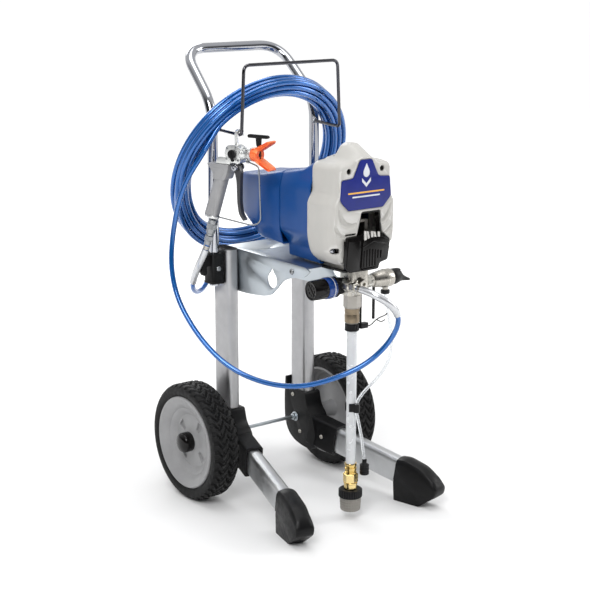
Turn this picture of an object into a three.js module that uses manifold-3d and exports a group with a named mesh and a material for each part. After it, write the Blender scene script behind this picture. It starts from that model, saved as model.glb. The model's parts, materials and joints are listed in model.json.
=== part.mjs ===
// Airless paint sprayer on a two-wheeled upright cart.
// Millimetres, +Z up. The machine faces -Y: the pump, its controls and the feet are in front,
// the wheels and the push handle behind. Left (-X) and right (+X) are as seen from the front.
import * as THREE from 'three';
import { mergeVertices } from 'three/addons/utils/BufferGeometryUtils.js';
import Module from 'manifold-3d';

const wasm = await Module();
wasm.setup();

// ---------------------------------------------------------------- driving dimensions
const GAP = 0.4;                 // space left between pieces that touch
const AXLE_Z = 127;              // 10 inch wheels
const AXLE_R = 4;
const WHEEL_X = 187;             // centre plane of each wheel
const TYRE_HALF = 32;            // half of the tyre's width
const TYRE_BEAD_R = 101;
const WHEEL_SIDES = 32;

const POST_X = 103;              // centre of each upright
const POST_WIDE = 30;            // section of the uprights and legs, across the machine
const POST_DEEP = 58;            // and from front to back
const POST_CORNER = 8;
const POST_WALL = 2.5;
const POST_FOOT_Z = 148;
const POST_TOP_Z = 540;

const LEG_START = [100, -44, 109];   // the centre line of each leg, from its bracket
const LEG_END = [164, -316, 57];     // to its foot
const FOOT_HALF = 20;

const GRIP_X = 133;              // vertical tubes of the push handle
const GRIP_TOP_X = 124;
const TUBE_R = 11;
const HANDLE_FOOT_Z = 463;
const HANDLE_BEND_Z = 842;
const HANDLE_TOP = [119, 952];   // y and z of the top bar

const PUMP_Y = -300;             // the pump's vertical centre line, at x = 0
const MOTOR_Z = 652;             // motor shaft
const CRANK_Z = 600;             // crankshaft
const CRANK_THROW = 7;
const VALVE_Z = 503;             // axis of the pressure knob and of the prime valve
const OUTLET = [-27, -350, 506]; // where the hose screws on

const HOSE_R = 5.5;
const COIL_CENTRE = [0, 16, 705];
const COIL_TILT = 25.3;          // degrees, top forward
const COIL_IN_R = 170;
const COIL_OUT_R = 215.3;
const COIL_HALF = 17.2;

const GUN_PLACE = [-137, -107, 757];
const GUN_YAW = -72;             // degrees: the gun points forward and a little inward

const CENTRE_Y = 128.6;          // puts the origin midway between the handle and the feet

// ---------------------------------------------------------------- materials
const finish = (color, roughness, metalness = 0) =>
  new THREE.MeshStandardMaterial({ color, roughness, metalness });
const ALUMINIUM = finish(0xb7babd, 0.4, 0.9);
const ZINC = finish(0xa3a8ac, 0.35, 0.9);
const CHROME = finish(0xd2d5d8, 0.12, 1);
const STEEL = finish(0x8f9296, 0.4, 0.9);
const CASTING = finish(0x9c9d9b, 0.6, 0.7);
const BLACK = finish(0x1b1b1d, 0.5);
const RUBBER = finish(0x222223, 0.85);
const RIM_GREY = finish(0x8e8f92, 0.45, 0.2);
const SHROUD_BLUE = finish(0x1d4f9c, 0.35);
const COVER_GREY = finish(0xcdcbc6, 0.45);
const BADGE_BLUE = finish(0x232f86, 0.3);
const HOSE_BLUE = finish(0x1c63b8, 0.3);
const ORANGE = finish(0xe06a2c, 0.45);
const BRASS = finish(0xb08a45, 0.35, 0.9);
const CLEAR = finish(0xe4e6e6, 0.25);
const COPPER = finish(0x9a5b35, 0.4, 0.8);

// ---------------------------------------------------------------- geometry helpers
const vector = (point) => new THREE.Vector3(...point);

// Faces of a closed geometry turned outward, with shared vertices merged.
function closed(geometry) {
  const bare = geometry.clone();
  bare.deleteAttribute('normal');
  bare.deleteAttribute('uv');
  const merged = mergeVertices(bare, 1e-4);
  const place = merged.attributes.position;
  const index = merged.index.array;
  const a = new THREE.Vector3();
  const b = new THREE.Vector3();
  const c = new THREE.Vector3();
  let volume = 0;
  for (let i = 0; i < index.length; i += 3) {
    a.fromBufferAttribute(place, index[i]);
    b.fromBufferAttribute(place, index[i + 1]);
    c.fromBufferAttribute(place, index[i + 2]);
    volume += a.dot(b.cross(c));
  }
  if (volume < 0) {
    for (let i = 0; i < index.length; i += 3) {
      [index[i], index[i + 1]] = [index[i + 1], index[i]];
    }
  }
  return merged;
}

function solid(geometry) {
  const merged = closed(geometry);
  return new wasm.Manifold(new wasm.Mesh({
    numProp: 3,
    vertProperties: new Float32Array(merged.attributes.position.array),
    triVerts: new Uint32Array(merged.index.array),
  }));
}

function geometryOf(manifold) {
  const { numProp, vertProperties, triVerts } = manifold.getMesh();
  const positions = new Float32Array((vertProperties.length / numProp) * 3);
  for (let i = 0; i < positions.length / 3; i += 1) {
    positions.set(vertProperties.subarray(i * numProp, i * numProp + 3), i * 3);
  }
  const geometry = new THREE.BufferGeometry();
  geometry.setAttribute('position', new THREE.BufferAttribute(positions, 3));
  geometry.setIndex(new THREE.BufferAttribute(new Uint32Array(triVerts), 1));
  return geometry;
}

function joined(first, ...others) {
  return geometryOf(others.reduce((sum, other) => sum.add(solid(other)), solid(first)));
}

function cut(body, ...tools) {
  return geometryOf(tools.reduce((rest, tool) => rest.subtract(solid(tool)), solid(body)));
}

function block(x0, x1, y0, y1, z0, z1) {
  const box = new THREE.BoxGeometry(Math.abs(x1 - x0), Math.abs(y1 - y0), Math.abs(z1 - z0));
  return box.translate((x0 + x1) / 2, (y0 + y1) / 2, (z0 + z1) / 2);
}

// A round or many-sided bar along one axis. centre holds its other two coordinates in x, y, z order.
function bar(axis, from, to, radius, centre, sides = 16, endRadius = radius) {
  const length = to - from;
  const shape = new THREE.CylinderGeometry(endRadius, radius, length, sides);
  const middle = (from + to) / 2;
  if (axis === 'x') return shape.rotateZ(-Math.PI / 2).translate(middle, centre[0], centre[1]);
  if (axis === 'z') return shape.rotateX(Math.PI / 2).translate(centre[0], centre[1], middle);
  return shape.translate(centre[0], middle, centre[1]);
}

const shapeOf = (points) => new THREE.Shape(points.map(([a, b]) => new THREE.Vector2(a, b)));

// An outline drawn in (x, z) and pushed forward, from yBack to yFront.
function frontPrism(points, yBack, yFront) {
  const prism = new THREE.ExtrudeGeometry(shapeOf(points), {
    depth: yBack - yFront, bevelEnabled: false, steps: 1,
  });
  return prism.rotateX(Math.PI / 2).translate(0, yBack, 0);
}

const SIDE_BASIS = new THREE.Matrix4().makeBasis(
  new THREE.Vector3(0, 1, 0), new THREE.Vector3(0, 0, 1), new THREE.Vector3(1, 0, 0));

// An outline drawn in (y, z) and pushed across, from x0 to x1.
function sidePrism(points, x0, x1) {
  const prism = new THREE.ExtrudeGeometry(shapeOf(points), {
    depth: x1 - x0, bevelEnabled: false, steps: 1,
  });
  return prism.applyMatrix4(SIDE_BASIS).translate(x0, 0, 0);
}

function roundedRectangle(width, depth, radius, corners = 3) {
  const points = [];
  for (let corner = 0; corner < 4; corner += 1) {
    const right = corner === 0 || corner === 3 ? 1 : -1;
    const top = corner < 2 ? 1 : -1;
    for (let step = 0; step <= corners; step += 1) {
      const angle = (corner + step / corners) * (Math.PI / 2);
      points.push([
        right * (width / 2 - radius) + radius * Math.cos(angle),
        top * (depth / 2 - radius) + radius * Math.sin(angle),
      ]);
    }
  }
  return points;
}

function circle(radius, sides) {
  const points = [];
  for (let i = 0; i < sides; i += 1) {
    const angle = ((i + 0.5) / sides) * 2 * Math.PI;
    points.push([radius * Math.cos(angle), radius * Math.sin(angle)]);
  }
  return points;
}

function sweep(curve, radius, sides, steps) {
  return new THREE.ExtrudeGeometry(shapeOf(circle(radius, sides)), {
    steps, extrudePath: curve, bevelEnabled: false,
  });
}

// A bent bar: straight stretches through the points, with each inner corner rounded.
function bent(points, bends) {
  const path = new THREE.CurvePath();
  let from = vector(points[0]);
  for (let i = 1; i < points.length - 1; i += 1) {
    const corner = vector(points[i]);
    const before = corner.clone().add(vector(points[i - 1]).sub(corner).setLength(bends[i - 1]));
    const after = corner.clone().add(vector(points[i + 1]).sub(corner).setLength(bends[i - 1]));
    path.add(new THREE.LineCurve3(from, before));
    path.add(new THREE.QuadraticBezierCurve3(before, corner, after));
    from = after;
  }
  path.add(new THREE.LineCurve3(from, vector(points[points.length - 1])));
  return path;
}

const flowing = (points) => new THREE.CatmullRomCurve3(points.map(vector), false, 'centripetal');

// A profile of (radius, height) points turned about +Z, or about +X when laid over.
function turned(profile, sides = 32, axis = 'z') {
  const points = profile.map(([r, h]) => new THREE.Vector2(r, h));
  const shape = new THREE.LatheGeometry(points, sides);
  return axis === 'x' ? shape.rotateZ(-Math.PI / 2) : shape.rotateX(Math.PI / 2);
}

const radians = THREE.MathUtils.degToRad;
const machine = new THREE.Group();
machine.position.y = CENTRE_Y;

function add(name, geometry, material, parent = machine) {
  const mesh = new THREE.Mesh(closed(geometry), material);
  mesh.name = name;
  parent.add(mesh);
  return mesh;
}

// An outline from its right half, listed from the top down.
const bothSides = (half) => half.concat(half.map(([x, z]) => [-x, z]).reverse());

const mirrored = (geometry, side) => (side < 0 ? geometry.clone().scale(-1, 1, 1) : geometry);
const SIDES = [['left', -1], ['right', 1]];

// ---------------------------------------------------------------- cart frame
function extrusion(length) {
  const outline = shapeOf(roundedRectangle(POST_WIDE, POST_DEEP, POST_CORNER));
  const inside = roundedRectangle(
    POST_WIDE - 2 * POST_WALL, POST_DEEP - 2 * POST_WALL, POST_CORNER - POST_WALL);
  outline.holes.push(new THREE.Path(inside.map(([a, b]) => new THREE.Vector2(a, b))));
  return new THREE.ExtrudeGeometry(outline, { depth: length, bevelEnabled: false, steps: 1 });
}

// The solid bar that fills a length of the extrusion, grown by a margin: used to cut sockets.
function extrusionCore(length, margin) {
  const outline = roundedRectangle(
    POST_WIDE + 2 * margin, POST_DEEP + 2 * margin, POST_CORNER + margin);
  return new THREE.ExtrudeGeometry(shapeOf(outline), { depth: length, bevelEnabled: false });
}

// Lays a bar made along +Z down the right leg: its width level, its depth upright.
const legStart = vector(LEG_START);
const legEnd = vector(LEG_END);
const legLength = legStart.distanceTo(legEnd);
const legWay = legEnd.clone().sub(legStart).normalize();
const legSide = new THREE.Vector3().crossVectors(new THREE.Vector3(0, 0, 1), legWay).normalize();
const legUp = new THREE.Vector3().crossVectors(legWay, legSide);
const LEG_FRAME = new THREE.Matrix4().makeBasis(legSide, legUp, legWay).setPosition(legStart);

function legPiece() {
  return extrusion(legLength).applyMatrix4(LEG_FRAME);
}

// The foot: a boot over the leg's end with a flat sole and a nose that rises in front.
function footCap() {
  const profile = [
    [238, 0], [302, 0], [344, 30], [347, 46], [334, 68], [306, 88], [252, 97], [236, 30],
  ];
  const boot = sidePrism(profile.map(([s, z]) => [-s, z]), -FOOT_HALF, FOOT_HALF);
  const heading = Math.atan2(legWay.x, -legWay.y);
  boot.rotateZ(heading).translate(legStart.x, legStart.y, 0);
  const socket = extrusionCore(legLength + GAP, GAP).applyMatrix4(LEG_FRAME);
  return cut(boot, socket);
}

// The corner bracket holds the upright's foot, the leg's root and the axle.
const BRACKET_IN_X = 82;
const BRACKET_OUT_X = 124;
function cornerBracket() {
  const profile = [
    [-35, 190], [31, 190], [33, 214], [37, 214], [41, 160], [39, 112], [27, 86], [6, 71],
    [-24, 64], [-60, 62], [-75, 100], [-62, 142], [-44, 158],
  ];
  const corner = sidePrism(profile, BRACKET_IN_X, BRACKET_OUT_X);
  const sleeve = new THREE.BoxGeometry(40, 68, 76).translate(0, 0, 38).applyMatrix4(LEG_FRAME);
  const post = extrusionCore(200, GAP).translate(POST_X, 0, POST_FOOT_Z - GAP);
  const leg = extrusionCore(120, GAP).translate(0, 0, -GAP).applyMatrix4(LEG_FRAME);
  const bore = bar('x', 60, 150, AXLE_R + GAP, [0, AXLE_Z], 16);
  return cut(joined(corner, sleeve), post, leg, bore);
}

const leg = legPiece();
const foot = footCap();
const bracket = cornerBracket();
for (const [name, side] of SIDES) {
  const post = extrusion(POST_TOP_Z - POST_FOOT_Z).translate(side * POST_X, 0, POST_FOOT_Z);
  add(`${name}_upright`, post, ALUMINIUM);
  add(`${name}_leg`, mirrored(leg, side), ALUMINIUM);
  add(`${name}_foot_cap`, mirrored(foot, side), BLACK);
  add(`${name}_corner_bracket`, mirrored(bracket, side), BLACK);
}

// The axle: one rod with a nut inside each bracket and a push-on cap outside each hub.
const HUB_END_X = WHEEL_X + 26;
function axle() {
  const pieces = [];
  for (const side of [-1, 1]) {
    const nut = [side * (BRACKET_IN_X - GAP), side * (BRACKET_IN_X - 8)].sort((a, b) => a - b);
    const stop = [side * (HUB_END_X + GAP), side * (HUB_END_X + 2.5)].sort((a, b) => a - b);
    pieces.push(bar('x', nut[0], nut[1], 8, [0, AXLE_Z], 6));
    pieces.push(bar('x', stop[0], stop[1], 8, [0, AXLE_Z], 16));
  }
  return joined(bar('x', -HUB_END_X - 2, HUB_END_X + 2, AXLE_R, [0, AXLE_Z], 16), ...pieces);
}
add('axle', axle(), ZINC);

// ---------------------------------------------------------------- wheels
// Profiles are (radius, distance outward from the wheel's centre plane).
const TYRE_PROFILE = [
  [TYRE_BEAD_R, -27], [112, -TYRE_HALF], [120, -31], [126, -26], [AXLE_Z, -20],
  [AXLE_Z, 20], [126, 26], [120, 31], [112, TYRE_HALF], [TYRE_BEAD_R, 27], [TYRE_BEAD_R, -27],
];
const RIM_PROFILE = [
  [4.6, -38], [17, -36], [18, 1], [58, 2], [75, 12], [89, 14], [94, -27], [100.6, -28],
  [100.6, 30], [95, 32], [72, 18], [60, 8], [20, 8], [17, 26], [4.6, 26], [4.6, -38],
];
const HUB_CAP_PROFILE = [
  [10, 26.4], [17, 26.4], [17, 31], [13, 35], [6, 37], [0, 37.4], [0, 31], [10, 31], [10, 26.4],
];
for (const [name, side] of SIDES) {
  const place = (profile, sides) =>
    mirrored(turned(profile, sides, 'x'), side).translate(side * WHEEL_X, 0, AXLE_Z);
  add(`${name}_tyre`, place(TYRE_PROFILE, WHEEL_SIDES), RUBBER);
  add(`${name}_rim`, place(RIM_PROFILE, WHEEL_SIDES), RIM_GREY);
  add(`${name}_hub_cap`, place(HUB_CAP_PROFILE, 14), BLACK);
}

// ---------------------------------------------------------------- pump tray
const TRAY_X = POST_X - POST_WIDE / 2 - GAP;
const TRAY_SHEET = 2.5;
function pumpTray() {
  const flange = [
    [24, POST_TOP_Z], [-258, POST_TOP_Z], [-274, 534], [-256, 519], [-214, 511], [-184, 500],
    [-162, 478], [-142, 461], [-112, 454], [-60, 449], [24, 447],
  ];
  const keyhole = [];
  for (let i = 0; i < 16; i += 1) {
    const angle = (i / 16) * 2 * Math.PI;
    const reach = i === 4 ? 26 : 17;
    keyhole.push([-146 + reach * Math.cos(angle), 494 + reach * Math.sin(angle)]);
  }
  const whole = sidePrism(flange, -TRAY_X, TRAY_X);
  const hollow = block(-TRAY_X + TRAY_SHEET, TRAY_X - TRAY_SHEET, -400, 100, 300,
    POST_TOP_Z - TRAY_SHEET);
  return cut(whole, hollow, sidePrism(keyhole, -100, 100));
}
add('pump_tray', pumpTray(), ZINC);

// ---------------------------------------------------------------- push handle and hose rack
function pushHandle() {
  const [topY, topZ] = HANDLE_TOP;
  const path = bent([
    [-GRIP_X, 0, HANDLE_FOOT_Z], [-GRIP_X, 0, HANDLE_BEND_Z], [-GRIP_TOP_X, topY, topZ],
    [GRIP_TOP_X, topY, topZ], [GRIP_X, 0, HANDLE_BEND_Z], [GRIP_X, 0, HANDLE_FOOT_Z],
  ], [45, 55, 55, 45]);
  return sweep(path, TUBE_R, 8, 44);
}
add('handle', pushHandle(), CHROME);

// Each guide clamps the handle's tube beside its upright, with a hook for winding the cord on.
function handleGuide() {
  const sleeve = block(118 + GAP, 148, -17, 17, 468, 534);
  const arm = block(146, 167, -7, 7, 507, 531);
  const finger = block(156, 167, -7, 7, 487, 531);
  return cut(joined(sleeve, arm, finger), bar('z', 440, 560, TUBE_R + GAP, [GRIP_X, 0], 20));
}
const guide = handleGuide();
for (const [name, side] of SIDES) add(`${name}_handle_guide`, mirrored(guide, side), BLACK);

const RACK_R = 3.5;
const RACK_ARM_X = 126;
const RACK_ARM_Z = 791;
const RACK_Y = -97;
function hoseRack() {
  const path = bent([
    [-RACK_ARM_X, -TUBE_R - GAP, RACK_ARM_Z + 4], [-RACK_ARM_X - 1, RACK_Y, RACK_ARM_Z],
    [-120, RACK_Y, 931], [120, RACK_Y, 931], [RACK_ARM_X + 1, RACK_Y, RACK_ARM_Z],
    [RACK_ARM_X, -TUBE_R - GAP, RACK_ARM_Z + 4],
  ], [9, 14, 14, 9]);
  return sweep(path, RACK_R, 6, 48);
}
add('hose_rack', hoseRack(), CHROME);

// ---------------------------------------------------------------- shroud, cover and door
const SHROUD_FRONT_Y = -258;
function motorShroud() {
  // The outline seen from the side, then from above and from the front, cut from one bar.
  const side = [
    [6, 612], [10, 697], [-72, 706], [-221, 734], [-258, 757], [-258, 543], [-156, 543],
    [-156, 568], [-60, 572],
  ];
  const above = [[-77, -400], [-77, -92], [-52, 30], [52, 30], [77, -92], [77, -400]];
  const frontal = [
    [-45, 800], [-77, 688], [-77, 600], [-50, 570], [-50, 540], [50, 540], [50, 570], [77, 600],
    [77, 688], [45, 800],
  ];
  const plan = (points, low, high) => new THREE.ExtrudeGeometry(shapeOf(points), {
    depth: high - low, bevelEnabled: false,
  }).translate(0, 0, low);
  const shrink = (points, middle, wall) => points.map(([a, b]) => [
    a - wall * Math.sign(a - middle[0]), b - wall * Math.sign(b - middle[1]),
  ]);
  const wall = 3;
  const body = solid(sidePrism(side, -90, 90))
    .intersect(solid(plan(above, 500, 800)))
    .intersect(solid(frontPrism(frontal, 40, -400)));
  const space = solid(sidePrism([
    [3, 615], [7, 694], [-72, 702], [-220, 730], [-270, 752], [-270, 520], [-159, 520],
    [-159, 571], [-62, 575]], -90, 90))
    .intersect(solid(plan(shrink(above, [0, -2000], wall), 500, 800)))
    .intersect(solid(frontPrism(shrink(frontal, [0, 650], wall), 40, -400)));
  const slots = [];
  for (let row = 0; row < 5; row += 1) {
    slots.push(block(-42, 26, -4, 30, 622 + row * 13, 627 + row * 13));
  }
  const switchHole = block(70, 90, -222, -196, 612, 630);
  return slots.concat([switchHole]).reduce(
    (rest, tool) => rest.subtract(solid(tool)), body.subtract(space));
}
add('motor_shroud', geometryOf(motorShroud()), SHROUD_BLUE);

const COVER_BACK_Y = SHROUD_FRONT_Y - GAP;
const COVER_FACE_Y = -338;
// Half of the cover's outline, from the top of its hump down its right side.
const COVER_HALF = [
  [27, 786], [40, 757], [66, 753], [76, 742], [77, 690], [83, 664], [83, 602], [74, 571], [50, 550],
];
const COVER_HOLLOW = [
  [36, 753], [64, 749], [72, 740], [73, 690], [79, 662], [79, 604], [71, 575], [48, 554],
];
function frontCover() {
  const whole = frontPrism(bothSides(COVER_HALF), COVER_BACK_Y, COVER_FACE_Y);
  const shaved = sidePrism([[-306, 800], [-306, 788], [-340, 764], [-360, 764], [-360, 800]], -60, 60);
  const deep = frontPrism(bothSides(COVER_HOLLOW), COVER_BACK_Y + 5, COVER_FACE_Y + 20);
  const shallow = frontPrism(bothSides(COVER_HOLLOW.map(([x, z]) => [x * 0.8, z])),
    COVER_FACE_Y + 25, COVER_FACE_Y + 4);
  const hatch = block(-46, 46, -350, -320, 530, 612);
  const window = block(-10, 40, -350, -320, 610, 656);
  // The face is narrower than the body behind it.
  const sides = [-1, 1].map((side) =>
    frontPrism([[side * 72, 800], [side * 72, 620], [side * 62, 560], [side * 62, 500],
      [side * 120, 500], [side * 120, 800]], COVER_FACE_Y + 14, COVER_FACE_Y - 9));
  const rodHole = bar('z', 540, 560, 14, [0, PUMP_Y], 16);
  return cut(whole, shaved, deep, shallow, hatch, window, rodHole, ...sides);
}
add('front_cover', frontCover(), COVER_GREY);

// A plain name plate on the cover's face: a narrow crest over a wide panel.
function badgePanel() {
  const half = [[15, 759], [32, 724], [60, 720], [64, 679], [46, 662]];
  return frontPrism(bothSides(half), COVER_FACE_Y - GAP, COVER_FACE_Y - 2.4);
}
add('badge_panel', badgePanel(), BADGE_BLUE);

// The door over the pump's rod, hung on its left edge.
const DOOR_BACK_Y = COVER_FACE_Y - GAP;
const DOOR_HINGE = [-57, -343];
function accessDoor() {
  const outline = [
    [-50, 608], [-56, 548], [-44, 538], [30, 538], [34, 550], [54, 554], [60, 596], [40, 610],
    [10, 612],
  ];
  const ribs = [];
  for (let i = 0; i < 4; i += 1) {
    ribs.push(block(-34 + i * 15, -27 + i * 15, COVER_FACE_Y - 11, COVER_FACE_Y - 6, 546, 574));
  }
  return joined(frontPrism(outline, DOOR_BACK_Y, COVER_FACE_Y - 7), ...ribs);
}
add('access_door', accessDoor(), BLACK);

// A rocker, tilted to off about the middle of its back.
const SWITCH_PIVOT = [76, 621];
function powerSwitch() {
  const rocker = block(-1.5, 4, -221.4, -196.6, -7.6, 7.6).rotateY(radians(-8));
  return rocker.translate(SWITCH_PIVOT[0], 0, SWITCH_PIVOT[1]);
}
add('power_switch', powerSwitch(), BLACK);

// Where the power cord enters, low on the back of the shroud.
const GLAND_AT = [43, 632];
add('cord_gland', joined(bar('y', 7.8, 24, 6, GLAND_AT, 16), bar('y', 7.8, 12, 9, GLAND_AT, 16)), BLACK);

// ---------------------------------------------------------------- motor and drive
const HOUSING_BACK_Y = -196;
const HOUSING_FRONT_Y = -254;
function driveHousing() {
  const half = [[40, 708], [58, 690], [58, 600], [44, 572], [44, POST_TOP_Z + GAP]];
  const hollow = [[38, 702], [52, 688], [52, 602], [38, 574], [38, 552]];
  const outer = frontPrism(bothSides(half), HOUSING_BACK_Y, HOUSING_FRONT_Y);
  const space = frontPrism(bothSides(hollow), HOUSING_BACK_Y - 6, HOUSING_FRONT_Y - 5);
  const nose = block(-40, 40, -322, HOUSING_FRONT_Y + 4, POST_TOP_Z + GAP, 550 - GAP);
  const motorHole = bar('y', -260, -180, 14, [0, MOTOR_Z], 20);
  const rodHole = bar('z', 500, 570, 9, [0, PUMP_Y], 16);
  const bridge = block(-55, 55, -247, -237, 588, 614);
  const crankHole = bar('y', -260, -230, 8.4, [0, CRANK_Z], 20);
  return cut(joined(cut(outer, space), nose, bridge), motorHole, rodHole, crankHole);
}
add('drive_housing', driveHousing(), CASTING);

function motorCan() {
  return cut(bar('y', HOUSING_BACK_Y + GAP, -50, 43, [0, MOTOR_Z], 20),
    bar('y', HOUSING_BACK_Y - 5, -40, 37, [0, MOTOR_Z], 20));
}
add('motor_can', motorCan(), STEEL);

const PINION_TEETH = 8;
const GEAR_TEETH = 48;
function toothed(radius, depth, teeth, yBack, yFront, z) {
  const points = [];
  for (let i = 0; i < teeth * 2; i += 1) {
    const angle = (i / teeth) * Math.PI;
    const reach = i % 2 ? radius : radius - depth;
    points.push([reach * Math.sin(angle), z + reach * Math.cos(angle)]);
  }
  return frontPrism(points, yBack, yFront);
}

// The armature, its shaft and the pinion that drives the reduction gear.
function rotorShaft() {
  return joined(
    bar('y', -172, -78, 28, [0, MOTOR_Z], 20),
    bar('y', -222, -32, 4, [0, MOTOR_Z], 16),
    toothed(7.4, 1.4, PINION_TEETH, -206, -221, MOTOR_Z));
}
add('rotor_shaft', rotorShaft(), COPPER);

function coolingFan() {
  const hub = bar('y', -52, -40, 12, [0, MOTOR_Z], 16);
  const blades = [];
  for (let i = 0; i < 8; i += 1) {
    const blade = block(-1.2, 1.2, -50, -40, 8, 34).rotateY((i / 8) * 2 * Math.PI);
    blades.push(blade.translate(0, 0, MOTOR_Z));
  }
  return cut(joined(hub, ...blades), bar('y', -60, -30, 4 + GAP, [0, MOTOR_Z], 16));
}
add('cooling_fan', coolingFan(), BLACK);

function reductionGear() {
  return cut(toothed(44, 2.4, GEAR_TEETH, -208, -220, CRANK_Z),
    bar('y', -230, -200, 8 + GAP, [0, CRANK_Z], 20));
}
add('reduction_gear', reductionGear(), STEEL);

function crank() {
  return joined(
    bar('y', -268, -206, 8, [0, CRANK_Z], 20),
    bar('y', -276, -266, 17, [0, CRANK_Z], 24),
    bar('y', -294, -275, 5, [0, CRANK_Z + CRANK_THROW], 16));
}
add('crank', crank(), STEEL);

// The yoke's window leaves room for the crank pin's whole circle, because the two move apart here.
function yoke() {
  const window = 2 * CRANK_THROW + 8;
  return cut(block(-30, 30, -310, -284, 570, 634),
    block(-window, window, -320, -270, CRANK_Z - window + 7, CRANK_Z + window + 7));
}
add('yoke', yoke(), STEEL);
add('pump_rod', bar('z', 440, 570 - GAP, 8, [0, PUMP_Y], 16), CHROME);

// ---------------------------------------------------------------- fluid section
function fluidManifold() {
  const core = block(-22, 30, -318, -282, 482, POST_TOP_Z);
  const outletBoss = bar('y', OUTLET[1] + 18, -309, 12, [OUTLET[0], OUTLET[2]], 20);
  const frontPlug = bar('y', -330, -317, 11, [6, 506], 6);
  const bore = bar('z', 470, 540, 9, [0, PUMP_Y], 16);
  return cut(joined(core, outletBoss, frontPlug), bore);
}
add('fluid_manifold', fluidManifold(), ZINC);

// The cylinder is open upward, for the rod, and downward, into the suction tube.
function pumpCylinder() {
  return cut(
    joined(bar('z', 455, 482 - GAP, 18, [0, PUMP_Y], 6), bar('z', 408, 456, 15.6, [0, PUMP_Y], 18)),
    bar('z', 422, 500, 9, [0, PUMP_Y], 16),
    bar('z', 400, 425, 6, [0, PUMP_Y], 16));
}
add('pump_cylinder', pumpCylinder(), CASTING);

function jamNut() {
  return cut(bar('z', 406, 421, 21, [0, PUMP_Y], 18), bar('z', 400, 430, 15.6 + GAP, [0, PUMP_Y], 18));
}
add('jam_nut', jamNut(), BLACK);

const SUCTION_R = 9.3;
function suctionTube() {
  const wall = 2;
  return cut(bar('z', 112, 408 - GAP, SUCTION_R, [0, PUMP_Y], 16),
    bar('z', 100, 420, SUCTION_R - wall, [0, PUMP_Y], 16));
}
add('suction_tube', suctionTube(), CLEAR);

function inletFitting() {
  const outside = joined(
    bar('z', 98, 122, 12.5, [0, PUMP_Y], 16), bar('z', 80, 99, 15.8, [0, PUMP_Y], 6),
    bar('z', 66, 81, 14, [0, PUMP_Y], 16));
  return cut(outside, bar('z', 112 - GAP, 130, SUCTION_R + GAP, [0, PUMP_Y], 16),
    bar('z', 60, 120, 6.5, [0, PUMP_Y], 16));
}
add('inlet_fitting', inletFitting(), BRASS);

function inletStrainer() {
  const cup = joined(bar('z', 48, 66 - GAP, 25, [0, PUMP_Y], 18),
    bar('z', 19, 49, 20.5, [0, PUMP_Y], 24, 22.5));
  return cut(cup, bar('z', 23, 60, 18.5, [0, PUMP_Y], 18), bar('z', 55, 70, 7, [0, PUMP_Y], 16));
}
add('inlet_strainer', inletStrainer(), BLACK);

const KNOB_Y = -290;
function pressureControl() {
  return joined(bar('x', -36, -22 - GAP, 17, [KNOB_Y, VALVE_Z - 3], 24),
    bar('x', -46, -30, 6, [KNOB_Y, VALVE_Z - 3], 16));
}
add('pressure_control', pressureControl(), BLACK);

function pressureKnob() {
  const skirt = joined(
    bar('x', -99, -50, 20, [KNOB_Y, VALVE_Z - 3], 20, 21.5),
    bar('x', -51, -40, 22.5, [KNOB_Y, VALVE_Z - 3], 20));
  return cut(skirt, bar('x', -50, -30, 18.5, [KNOB_Y, VALVE_Z - 3], 20));
}
add('pressure_knob', pressureKnob(), BLACK);

function primeValve() {
  return joined(
    bar('x', 30 + GAP, 52, 12, [PUMP_Y, VALVE_Z], 6),
    bar('x', 50, 78, 15, [PUMP_Y, VALVE_Z], 24, 19),
    bar('x', 77, 100, 19, [PUMP_Y, VALVE_Z], 24),
    bar('z', 474, 490, 5, [87, PUMP_Y], 12),
    bar('z', 470, 478, 7, [87, PUMP_Y], 12));
}
add('prime_valve', primeValve(), ZINC);

function primeLever() {
  const collar = bar('x', 100 + GAP, 122, 17, [PUMP_Y, VALVE_Z], 20, 14);
  const paddle = sidePrism([
    [PUMP_Y - 9, VALVE_Z - 7], [PUMP_Y + 9, VALVE_Z - 7], [PUMP_Y + 9, VALVE_Z + 7],
    [PUMP_Y - 9, VALVE_Z + 7]], 110, 138);
  const tip = bar('x', 130, 153, 9, [PUMP_Y, VALVE_Z - 2], 12, 3);
  return joined(collar, paddle, tip);
}
add('prime_lever', primeLever(), BLACK);

add('outlet_fitting', joined(
  bar('y', OUTLET[1], OUTLET[1] + 18 - GAP, 7.5, [OUTLET[0], OUTLET[2]], 20),
  bar('y', OUTLET[1] + 4, OUTLET[1] + 16, 11, [OUTLET[0], OUTLET[2]], 6)), ZINC);

// ---------------------------------------------------------------- drain tube
const DRAIN_R = 3.2;
const DRAIN_ROUTE = [
  [87, -300, 469.5], [88, -300, 450], [97, -302, 415], [102, -306, 380], [99, -310, 350],
  [84, -314, 322], [56, -318, 300], [26, -319, 283], [8, -317, 268], [0, -315, 250],
  [2, -315, 232], [9, -314, 210], [15, -316, 180], [19, -317, 150], [21, -318, 131],
];
add('drain_tube', sweep(flowing(DRAIN_ROUTE), DRAIN_R, 8, 40), CLEAR);

function drainDiffuser() {
  return joined(bar('z', 119, 130, 5, [22, -318], 12), bar('z', 97, 120, 10, [22, -318], 20));
}
add('drain_diffuser', drainDiffuser(), BLACK);

// One clip snaps onto the suction tube and carries the drain tube in front of it.
function tubeClip() {
  const ring = bar('z', 235, 253, SUCTION_R + 3.5, [0, PUMP_Y], 16);
  const socket = bar('z', 235, 253, DRAIN_R + 4, [1, -315.5], 16);
  return cut(joined(ring, socket), bar('z', 230, 260, SUCTION_R + GAP, [0, PUMP_Y], 16),
    bar('z', 230, 260, DRAIN_R + 1.4, [1, -315.5], 16), block(-20, -7, -306, -294, 230, 260));
}
add('tube_clip', tubeClip(), BLACK);

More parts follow.
